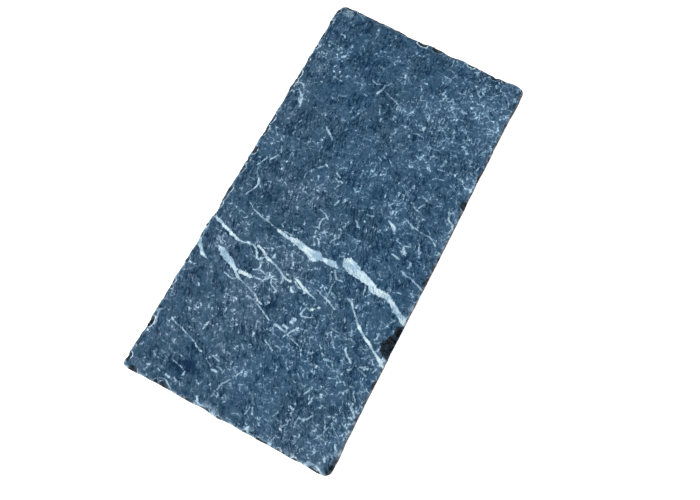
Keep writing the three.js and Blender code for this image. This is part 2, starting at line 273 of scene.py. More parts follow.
border = np.concatenate([
    np.arange(columns),
    columns + (columns + 1) * np.arange(rows),
    (columns + 1) * rows + np.arange(columns, 0, -1),
    (columns + 1) * np.arange(rows, 0, -1),
])
edge = np.stack([top_x, top_y], 1)[border]
way_out = np.stack([out_x, out_y], 1)[border]
edge_shift = shift[border]
rings = [
    np.column_stack([edge + way_out * (TOP_ARRIS - inset + edge_shift)[:, None], np.full(len(edge), z)])
    for z, inset in profile
]
foot_ring = rings[-1]
shrink = [1 - np.array([inset / half_width, inset / half_length, 0]) for inset in UNDERSIDE_RINGS]
profile += [(0.0, BOTTOM_ARRIS)] * len(shrink)
rings += [foot_ring * factor for factor in shrink]
print("points round the slab:", len(border), " rings:", len(rings))

# %% [markdown]
# ## The fine skin of the split stone
#
# Between the coin-sized lumps a split bed is covered with smaller ones, with the broken ends of very
# thin layers, and with short narrow grooves that all run nearly one way, because the bed split along
# them. All of this is carved down into the slab, and nothing is added on top, so the slab keeps its
# size. The grooves come from noise that is stretched along the way they run: its middle value draws
# long lines over the plane, and a groove is cut wherever the noise is close to that value.

# %% Fine relief carved into the split faces
GROOVE_RUN = np.array([-0.5, 0.87])      # the way the grooves run, across and along the slab
GROOVE = dict(apart=7.5, stretch=3.2, seed=229)      # mm between them, and how much longer than wide
GROOVE_BEND = dict(size=6, share=0.35, seed=233)     # noise that keeps them from running straight
GROOVE_HERE = dict(size=23, seed=239)                # patches of the stone that have grooves
GROOVE_DEEP = 0.55
FINE_LEDGE = dict(size=21, levels=4, rise=0.16, edge=0.1, seed=211)
FINE_LUMPS = [dict(size=8.5, height=0.26, seed=223), dict(size=4.6, height=0.13, seed=227)]


def stretched(x, y, size, stretch, seed):
    """Smooth noise from 0 to 1 whose hills are stretched along the grooves."""
    along = x * GROOVE_RUN[0] + y * GROOVE_RUN[1]
    across = x * GROOVE_RUN[1] - y * GROOVE_RUN[0]
    return hills(across, along / stretch, size, seed)


def grooves(x, y):
    """How much of a groove is here, from 0 to 1."""
    bend = GROOVE_BEND["share"] * (hills(x, y, GROOVE_BEND["size"], GROOVE_BEND["seed"]) - 0.5)
    line = stretched(x, y, GROOVE["apart"], GROOVE["stretch"], GROOVE["seed"]) + bend
    valley = 1 - smooth_step(np.abs(line - 0.5), 0.02, 0.11)
    return valley * smooth_step(hills(x, y, GROOVE_HERE["size"], GROOVE_HERE["seed"]), 0.5, 0.66)


def fine_depth(x, y):
    """How far the fine skin lies below the split bed, in mm, never less than 0."""
    depth = (FINE_LEDGE["levels"] - terraces(x, y, FINE_LEDGE)) * FINE_LEDGE["rise"]
    for wave in FINE_LUMPS:
        depth = depth + wave["height"] - wander(x, y, wave)
    return depth + GROOVE_DEEP * grooves(x, y)


print("deepest groove, mm:", GROOVE_DEEP, " finest lumps, mm:", FINE_LUMPS[-1]["size"])


# %% [markdown]
# ## Chips, the spall and the pits
#
# Tumbling knocks shells of stone off the edges. The hollow of such a chip is part of a rough ball whose
# centre lies a little outside the stone. Cutting it with a Boolean would leave long thin triangles, so
# each point of the skin that is inside a ball is pushed straight away from the ball's centre until it
# lies on its surface. Every point keeps its distance to the border of the nearest chip, less than 0
# inside it, and the material paints broken stone by that number: a dark hollow, partly fresh stone and
# partly painted shade, with a pale rim that is partly bruise and partly a painted highlight. The largest
# bite, on the right edge, is a spall that goes most of the way down. Each chip is written as where it is
# along the side, how long it is, how far in it goes and how deep.

# %% Chips of the top edge, in mm
CHIPS = dict(
    left=[(-287, 14, 5, 7), (-262, 8, 2.4, 4), (-234, 15, 5, 8), (-218, 14, 3, 5), (-199, 7, 2.6, 4),
          (-176, 9, 3.4, 5), (-153, 8, 3.2, 5), (-141, 9, 3, 6), (-104, 8, 2.4, 4), (-84, 9, 3, 6),
          (-57, 9, 3.6, 5), (-38, 6, 3.4, 6), (-24, 10, 3.2, 7), (-6, 8, 2.6, 4), (19, 8, 3.2, 5),
          (37, 15, 4.8, 8), (70, 9, 3.2, 6), (90, 12, 3, 6), (108, 7, 2.6, 4), (151, 10, 4, 7),
          (171, 12, 3.4, 7), (197, 8, 3.6, 5), (223, 9, 3.2, 5), (263, 11, 4, 6)],
    right=[(-219, 13, 4.6, 7), (-200, 12, 4, 8), (-174, 15, 6.5, 9), (-151, 8, 3, 5), (-56, 12, 3, 6),
           (-21, 13, 7, 10), (1, 14, 5, 8), (16, 9, 4, 6), (46, 10, 2.8, 5), (86, 13, 3.6, 7),
           (103, 14, 9, 10), (128, 9, 2.8, 5), (150, 18, 4.4, 8), (183, 12, 3.2, 6), (212, 10, 3, 5),
           (238, 12, 4, 7), (257, 11, 3.6, 8), (272, 9, 3.8, 7)],
    far=[(-137, 16, 5, 9), (-123, 9, 4, 6), (-96, 9, 3.2, 6), (-46, 11, 3, 7), (-14, 15, 7, 10),
         (8, 13, 4, 8), (29, 16, 3.6, 8), (63, 9, 4.2, 6), (95, 9, 5.2, 7), (105, 11, 7, 8),
         (118, 8, 3, 5)],
    near=[(-138, 14, 7.5, 10), (-116, 8, 3, 5), (-102, 7, 3.8, 6), (-90, 17, 7, 9), (-63, 7, 3.8, 5),
          (-52, 15, 3.2, 7), (-31, 17, 4, 6), (-8, 9, 3.4, 6), (29, 8, 4.4, 5), (51, 15, 4, 8),
          (77, 12, 3, 6), (101, 9, 3.6, 5), (130, 20, 4.8, 7)],
)
SHALLOW = dict(left=0.5, right=1.0, far=0.4, near=0.8)      # share of the depth given in the lists
# The spall is three balls that overlap.
SPALL = [("right", -123, 27, 18.5, 19), ("right", -101, 30, 10.5, 16), ("right", -112, 22, 11.5, 17)]
CORNER_CHIPS = [(-149, 291, 6, 4.5, 4), (-148, 283, 6, 3, 3.5), (147, 297, 6, 4, 3.5),
                (-149, -298, 4, 4, 2.5)]     # x, y, half sizes along, in and down
# Mean distance apart, distance kept from the corners, and the least and most of each size, in mm; then the
# row of the hash that the first of them draws from.
FOOT_CHIPS = dict(spacing=72, clear=30, long=(8, 15), inward=(2.5, 4.5), rise=(3.5, 6.5), row=76,
                  seed=71)
# Each pit: x, y, length, width, depth and the degrees that it is turned by.
PITS = [(-22, -145, 11, 6, 1.9, 110), (30, 241, 14, 8, 1.1, 60), (-84, -268, 26, 14, 1.3, 150),
        (-70, 205, 20, 9, 1.0, 115), (24, 22, 24, 8, 1.0, 125), (-82, 44, 30, 9, 1.0, 118),
        (100, -250, 18, 10, 1.1, 70)]
print("chips on the top edge:", sum(len(row) for row in CHIPS.values()), " pits:", len(PITS))

# %% [markdown]
# ## Scars
#
# Some blows in the drum bruise the top just inside its edge and leave a short, shallow dent with a dark
# bottom, partly dark stone and partly painted shade, and a pale inner rim, partly bruise and partly a
# painted highlight. Pushing points off a ball would give these a border that is too crisp, so each one
# is an ellipse whose bottom is let down by a small part of its width. The rows were written for the
# sharp dents alone, and WIDER opens each to where its soft border ends.

# %% Scars just inside the worn edge
# Each row: middle, length, where it starts and ends from the edge in mm, how dark (partly painted shade),
# how pale its rim (partly painted highlight).
SCARS = dict(
    left=[(-288.5, 13, 0.7, 4.8, 1.0, 1.8), (-236.5, 14, 0.9, 5.2, 1.0, 1.8),
          (-213, 2.4, 0.5, 5.5, 0.9, 0.0), (-199, 6, 0.4, 2.2, 0.5, 0.6), (-184, 5, 0.4, 3.0, 0.6, 0.8),
          (-176, 6, 0.3, 2.4, 0.5, 0.9), (-143, 8, 0.2, 3.4, 0.9, 0.5), (-104, 8, 0.2, 2.0, 0.6, 0.6),
          (-88, 7, 0.2, 2.2, 0.6, 1.0), (-72, 4, 0.2, 2.2, 0.7, 0.3), (-54, 7, 0.5, 2.8, 0.6, 1.2),
          (-42, 12, 0.3, 3.0, 0.8, 0.4), (-29, 13, 0.3, 3.6, 0.9, 0.7), (5, 12, 0.3, 3.6, 0.8, 0.9),
          (19, 9, 0.8, 4.0, 0.6, 1.2), (37, 13, 0.6, 4.8, 1.0, 1.6), (70, 15, 0.4, 2.8, 0.8, 0.6),
          (91, 16, 0.3, 2.8, 0.8, 1.2), (108, 6, 0.3, 2.2, 0.4, 0.7), (145, 13, 0.3, 3.8, 0.8, 1.0),
          (158, 7, 0.3, 3.2, 0.9, 0.9), (170, 12, 0.4, 3.6, 0.6, 1.4), (196, 6, 0.4, 3.2, 0.5, 1.4),
          (222, 7, 0.3, 2.6, 0.6, 0.9), (241, 17, 0.2, 1.8, 0.7, 0.3), (266, 10, 0.4, 3.4, 0.8, 1.2)],
    near=[(-139.5, 9, 0.2, 8.0, 1.0, 0.1), (-116, 4.5, 0.3, 3.0, 0.8, 0.0),
          (-104.5, 5.5, 0.4, 5.2, 0.9, 0.3), (-94, 11, 0.8, 6.4, 1.0, 1.3),
          (-64, 3.5, 0.5, 4.0, 0.5, 0.3), (-54, 12, 0.2, 4.0, 0.8, 0.1), (-11, 4, 0.8, 3.2, 0.8, 0.5),
          (54, 16, 0.1, 3.0, 0.9, 0.3), (77, 5, 0.6, 3.2, 0.7, 0.7), (101, 4.5, 0.5, 2.6, 0.3, 1.2),
          (128, 17, 1.2, 4.6, 0.2, 0.9)],
    far=[(-139, 11, 0.2, 3.6, 1.0, 0.6), (-121, 7, 0.3, 2.2, 0.6, 0.7), (-96, 32, 0.1, 1.8, 0.7, 0.2),
         (-55, 22, 0.1, 1.8, 0.7, 0.2), (-16, 15, 0.4, 6.2, 1.0, 1.7), (8, 16, 0.3, 6.4, 0.85, 0.4),
         (31, 13, 0.2, 2.8, 0.9, 0.3), (64, 9, 0.3, 2.8, 0.8, 1.6), (88, 12, 0.5, 6.5, 0.2, 0.1),
         (101, 10, 0.4, 5.4, 0.7, 0.5), (118, 7, 0.3, 3.2, 0.5, 1.1)],
    right=[(-291, 30, -2.0, 6.0, 0.75, 0.0)],
)
SCAR_DEEP = 0.34     # depth of a scar as a share of its width
# How many mm are added to where each scar starts and ends.
WIDER = dict(left=(0.9, 2.1), far=(0.6, 1.8), near=(0.2, 0.8), right=(0.2, 0.8))
print("scars:", sum(len(row) for row in SCARS.values()))

# %% [markdown]
# ## From rows to balls
#
# A chip is long along the edge and short inward, so its ball is stretched: it has a half size along the
# side, one inward and one down. Its centre lies a little outside the stone, and the half sizes are made
# larger to match, so that the hollow still comes out as long and as deep as its row says. The foot of
# the slab hits the drum as well, and its chips are spread out by the hash.

# %% Ball of one chip
WAYS = dict(left=((-1, 0), (0, 1)), right=((1, 0), (0, 1)), far=((0, 1), (1, 0)), near=((0, -1), (1, 0)))
CHIP_LEVEL = THICKNESS - 0.4
SKEW = 0.35          # how far outside the stone a ball is centred, in chip depths
REACH = math.hypot(1 + SKEW, SKEW)
LENGTH_SHARE = math.sqrt(1 - 2 * (SKEW / REACH) ** 2)


def chip_ball(side, at, long, inward, drop, level, down):
    """Centre, axes and half sizes of the ball that one chip comes from."""
    out, along = (np.array([*way, 0.0]) for way in WAYS[side])
    half = half_width if side in ("left", "right") else half_length
    edge_at = half + proud(side, np.array([float(at)]))[0]
    centre = along * at + out * (edge_at + inward * SKEW)
    centre[2] = level - down * drop * SKEW
    axes = np.stack([along, -out, [0, 0, 1]])
    return centre, axes, np.array([long / 2 / LENGTH_SHARE, inward * REACH, drop * REACH])


print("a ball reaches", round(REACH, 2), "times as far as its chip")

# %% Balls that the chips come from
DARK_AND_SHADE = dict(left=0.6, right=0.35, far=0.6, near=0.6)      # how dark the chips of a side are: fresh stone, with painted shade in the hollow
PALE_AND_LIT = dict(left=0.4, right=0.05, far=0.3, near=0.4)      # how pale their borders are: bruised, and partly a painted highlight
SMALL, LARGE = 2.2, 4.2      # mm inward below which a chip looks worn over, and above which fresh
CORNER_OUT = 0.3             # how far outside the corner a ball is centred, in depths inward
BREAK_SHADE_AND_RIM = dict(spall=(0.97, 0.0), corner=(0.9, 0.6), foot=(0.8, 0.3))      # how dark (fresh stone and painted shade), and how pale (bruise and painted highlight)
balls, looks = [], []
for side, chips in CHIPS.items():
    for at, long, inward, drop in chips:
        drop = drop * SHALLOW[side]
        balls.append(chip_ball(side, along_side(side, at), long, inward, drop, CHIP_LEVEL, -1))
        fresh = smooth_step(inward, SMALL, LARGE)
        looks.append((DARK_AND_SHADE[side] * fresh, PALE_AND_LIT[side] * fresh))
balls += [chip_ball(*bite, CHIP_LEVEL, -1) for bite in SPALL]
looks += [BREAK_SHADE_AND_RIM["spall"]] * len(SPALL)
for x, y, *halves in CORNER_CHIPS:
    out = np.array([math.copysign(math.sqrt(0.5), x), math.copysign(math.sqrt(0.5), y), 0.0])
    balls.append((np.array([x, y, THICKNESS]) + out * halves[1] * CORNER_OUT,
                  np.stack([[-out[1], out[0], 0], -out, [0, 0, 1]]), np.array(halves, float)))
    looks.append(BREAK_SHADE_AND_RIM["corner"])
print("balls along the top edge:", len(balls))

# %% Balls of the foot chips
row = FOOT_CHIPS["row"]
for side in WAYS:
    run = (LENGTH if side in ("left", "right") else WIDTH) - 2 * FOOT_CHIPS["clear"]
    count = round(run / FOOT_CHIPS["spacing"])
    for n in range(count):
        at = ((n + hashed(n, row, FOOT_CHIPS["seed"])) / count - 0.5) * run
        size = [a + (b - a) * hashed(row, int(b * 10), FOOT_CHIPS["seed"])
                for a, b in (FOOT_CHIPS["long"], FOOT_CHIPS["inward"], FOOT_CHIPS["rise"])]
        balls.append(chip_ball(side, at, *size, 0.0, 1))
        looks.append(BREAK_SHADE_AND_RIM["foot"])
        row += 1
print("balls with the foot:", len(balls))

# %% [markdown]
# ## Putting the skin together
#
# The top grid and the rings are stacked into one list of points. Their heights follow the split bed,
# which fades out down the side, and the sides get the marks of the drum: small lumps that are pushed
# inward only, so the slab keeps its size.

# %% Points of the skin
def lift(x, y, z):
    """How far the split bed raises a point at height z."""
    return riven(x, y) * (z / THICKNESS) ** 4


points = [np.column_stack([top, THICKNESS + riven(top[:, 0], top[:, 1])])]
outward = [np.column_stack([np.zeros_like(top), np.ones(len(top))])]
side_way = np.column_stack([way_out, np.zeros(len(way_out))])
for (z, inset), ring in zip(profile, rings):
    ring = ring.copy()
    ring[:, 2] += lift(ring[:, 0], ring[:, 1], z)
    steep = 1 - inset / TOP_ARRIS if z > THICKNESS / 2 else 1 - inset / BOTTOM_ARRIS
    points.append(ring)
    outward.append(side_way * steep + np.array([0, 0, 1 - steep]) * (1 if z > THICKNESS / 2 else -1))
points = np.concatenate(points)
outward = np.concatenate(outward)
outward /= np.linalg.norm(outward, axis=1, keepdims=True)
on_top = outward[:, 2].clip(0, 1)
print("points of the skin:", len(points))

# %% Fine relief of the top and the sides
# Size and height in mm of each layer of lumps, and its seed.
SIDE_LUMPS = [(27, 0.5, 307), (11, 0.5, 311), (5.2, 0.4, 313)]
NICK = dict(size=6.5, deep=0.9, seed=317)      # small nicks along the worn top edge
NICK_FROM, NICK_FULL = 0.05, 0.7      # values of the noise where a nick starts, and where it is deepest
NICK_LOW, NICK_HIGH = 17, 26          # heights in mm between which the nicks set in
NICK_NEAR, NICK_FAR = 2.5, 5.0        # mm in from the edge over which they end
NICK_ON_TOP = 0.7                     # share of their depth where the face looks up
FOOT_CLEAR = 1.2                      # mm above the bed over which the lumps of the sides set in
top_depth = fine_depth(points[:, 0], points[:, 1])
side_depth = sum(h * (1 + lumps(points, size, s)) / 2 for size, h, s in SIDE_LUMPS)
nicks = smooth_step(lumps(points, NICK["size"], NICK["seed"]), NICK_FROM, NICK_FULL) * NICK["deep"]
rim_gap = np.minimum(half_width - np.abs(points[:, 0]), half_length - np.abs(points[:, 1]))
near_edge = smooth_step(points[:, 2], NICK_LOW, NICK_HIGH)
near_edge = near_edge * (1 - smooth_step(rim_gap, NICK_NEAR, NICK_FAR))
side_depth = side_depth + nicks * near_edge
foot = smooth_step(points[:, 2], 0.0, FOOT_CLEAR)
depth = on_top ** 2 * (top_depth + NICK_ON_TOP * nicks * near_edge)
depth = depth + (1 - on_top ** 2) * side_depth * foot
points = points - outward * depth[:, None]
print("fine relief, mm:", depth.min().round(2), "to", depth.max().round(2))

# %% [markdown]
# ## Pressing in the chips, pits and scars
#
# Each mark is pressed in by its own rule. A chip pushes points away from its ball's centre. A pit is a
# shallow dish in the top, so its points move straight down. A scar does the same, but its bowl is added
# to the relief that is there. The reach of each mark is made uneven by noise, because stone breaks from
# grain to grain and never along a smooth curve.

# %% Chips pressed in
ROUGH = 0.16          # how uneven a broken face is, as a share of its size
NO_CHIP = 9.0         # distance stored where no chip is near, in mm
COARSE = dict(share=0.5, seed=401)           # large lumps of a broken face, as a share of its size
FLAKES = dict(size=4.2, height=0.6, seed=503)      # small ones in mm, lower than the large ones
ROOM = 1.3            # how far from a ball's centre its points are looked for, in half sizes
LEAST = 0.05          # least number that is divided by, so that nothing blows up at a ball's centre
chip_gap = np.full(len(points), NO_CHIP)      # distance to the border of the nearest chip
chip_dark_and_shade, chip_pale_and_lit = np.zeros(len(points)), np.zeros(len(points))
for n, ((centre, axes, halves), (dark, pale)) in enumerate(zip(balls, looks)):
    span = np.abs(axes.T) @ halves * ROOM + NO_CHIP
    near = np.flatnonzero(np.all(np.abs(points - centre) < span, axis=1))
    offset = (points[near] - centre) @ axes.T / halves
    reach = np.linalg.norm(offset, axis=1)
    uneven = lumps(points[near], COARSE["share"] * halves.mean(), COARSE["seed"] + n)
    uneven = uneven + FLAKES["height"] * lumps(points[near], FLAKES["size"], FLAKES["seed"] + n)
    surface = 1 + ROUGH * uneven
    hit = reach < surface
    gap = np.linalg.norm(points[near] - centre, axis=1) * (1 - surface / np.maximum(reach, LEAST))
    nearer = near[gap < chip_gap[near]]
    chip_gap[nearer], chip_dark_and_shade[nearer], chip_pale_and_lit[nearer] = gap[gap < chip_gap[near]], dark, pale
    push = (surface / np.maximum(reach, LEAST))[hit, None]
    points[near[hit]] = centre + (points[near[hit]] - centre) * push
print("points on chips:", int((chip_gap < 0).sum()))

# %% Pits pressed in
PIT_LIFT = 0.6        # how far above the top a pit's ball is centred, in half heights of the ball
PIT_EDGE = dict(share=0.16, size=6, seed=601)      # how uneven its border is
PIT_SKIN = 0.25       # share of the fine relief that is left on its floor
for x, y, long, wide, deep, turn in PITS:
    x, y = on_slab(x, y)
    tall = deep / (1 - PIT_LIFT)
    middle = THICKNESS + riven(np.array([float(x)]), np.array([float(y)]))[0] + tall * PIT_LIFT
    spread = 1 / math.sqrt(1 - PIT_LIFT ** 2)
    c, s = math.cos(math.radians(turn)), math.sin(math.radians(turn))
    dx, dy = points[:, 0] - x, points[:, 1] - y
    uneven = 1 + PIT_EDGE["share"] * lumps(points, PIT_EDGE["size"], PIT_EDGE["seed"])
    across = (dx * c + dy * s) / (long / 2 * spread * uneven)
    beside = (dy * c - dx * s) / (wide / 2 * spread * uneven)
    inside_pit = 1 - across ** 2 - beside ** 2
    floor_z = middle - tall * np.sqrt(inside_pit.clip(0, 1)) - PIT_SKIN * top_depth
    hit = (inside_pit > 0) & (points[:, 2] > floor_z) & (on_top > 0.5)
    points[hit, 2] = floor_z[hit]
print("pits:", len(PITS))

# %% Scars pressed in
SCAR_EDGE = dict(share=0.2, size=3.6, seed=701)      # how uneven a scar's border is
OVER_CHIP = 0.5       # a scar takes a point from a chip that is at most this much nearer, in mm
for side, scars in SCARS.items():
    out, along = (np.array(way, float) for way in WAYS[side])
    half = half_width if side in ("left", "right") else half_length
    for at, long, first, last, dark, pale in scars:
        at, first, last = along_side(side, at), first + WIDER[side][0], last + WIDER[side][1]
        edge_at = half + proud(side, np.array([float(at)]))[0]
        run = points[:, :2] @ along - at
        inward = edge_at - points[:, :2] @ out - (first + last) / 2
        half_along, half_in = long / 2, (last - first) / 2
        near = np.flatnonzero((np.abs(run) < half_along + NO_CHIP)
                              & (np.abs(inward) < half_in + NO_CHIP) & (on_top > 0.05))
        run, inward = run[near], inward[near]
        uneven = 1 + SCAR_EDGE["share"] * lumps(points[near], SCAR_EDGE["size"], SCAR_EDGE["seed"])
        reach = np.hypot(run / half_along, inward / half_in) / uneven
        slope = np.hypot(run / half_along ** 2, inward / half_in ** 2) / np.maximum(reach, LEAST)
        gap = (reach - 1) / np.maximum(slope, LEAST)
        nearer = gap < chip_gap[near] + OVER_CHIP
        hit = near[nearer]
        chip_gap[hit], chip_dark_and_shade[hit] = gap[nearer], dark
        chip_pale_and_lit[hit] = pale * smooth_step(inward[nearer] / half_in, -0.6, 0.3)
        bowl = SCAR_DEEP * (last - first) * np.sqrt((1 - reach ** 2).clip(0)) * on_top[near]
        points[near, 2] -= bowl
print("points on broken faces:", int((chip_gap < 0).sum()))

# %% Fit to the slab's real size
lowest, highest = points.min(0), points.max(0)
points = (points - lowest) / (highest - lowest) * (high - low) + low
print("size, mm:", np.ptp(points, axis=0).round(2))

# %% [markdown]
# ## Calcite veins
#
# Veins are old cracks that filled with white calcite. Each one is drawn as a line of points across the
# slab with half its width at each point. Painting them needs to know, at any spot, how far away the
# middle of the nearest vein is, so every point of the skin stores three numbers: that distance with a
# sign for the side it is on, the vein's half width there, and how bright it is. Between points Blender
# blends the numbers, and because the distance has a sign it blends right across a vein that is narrower
# than the grid. Lines that run close together go in separate sets, or they'd spoil each other.

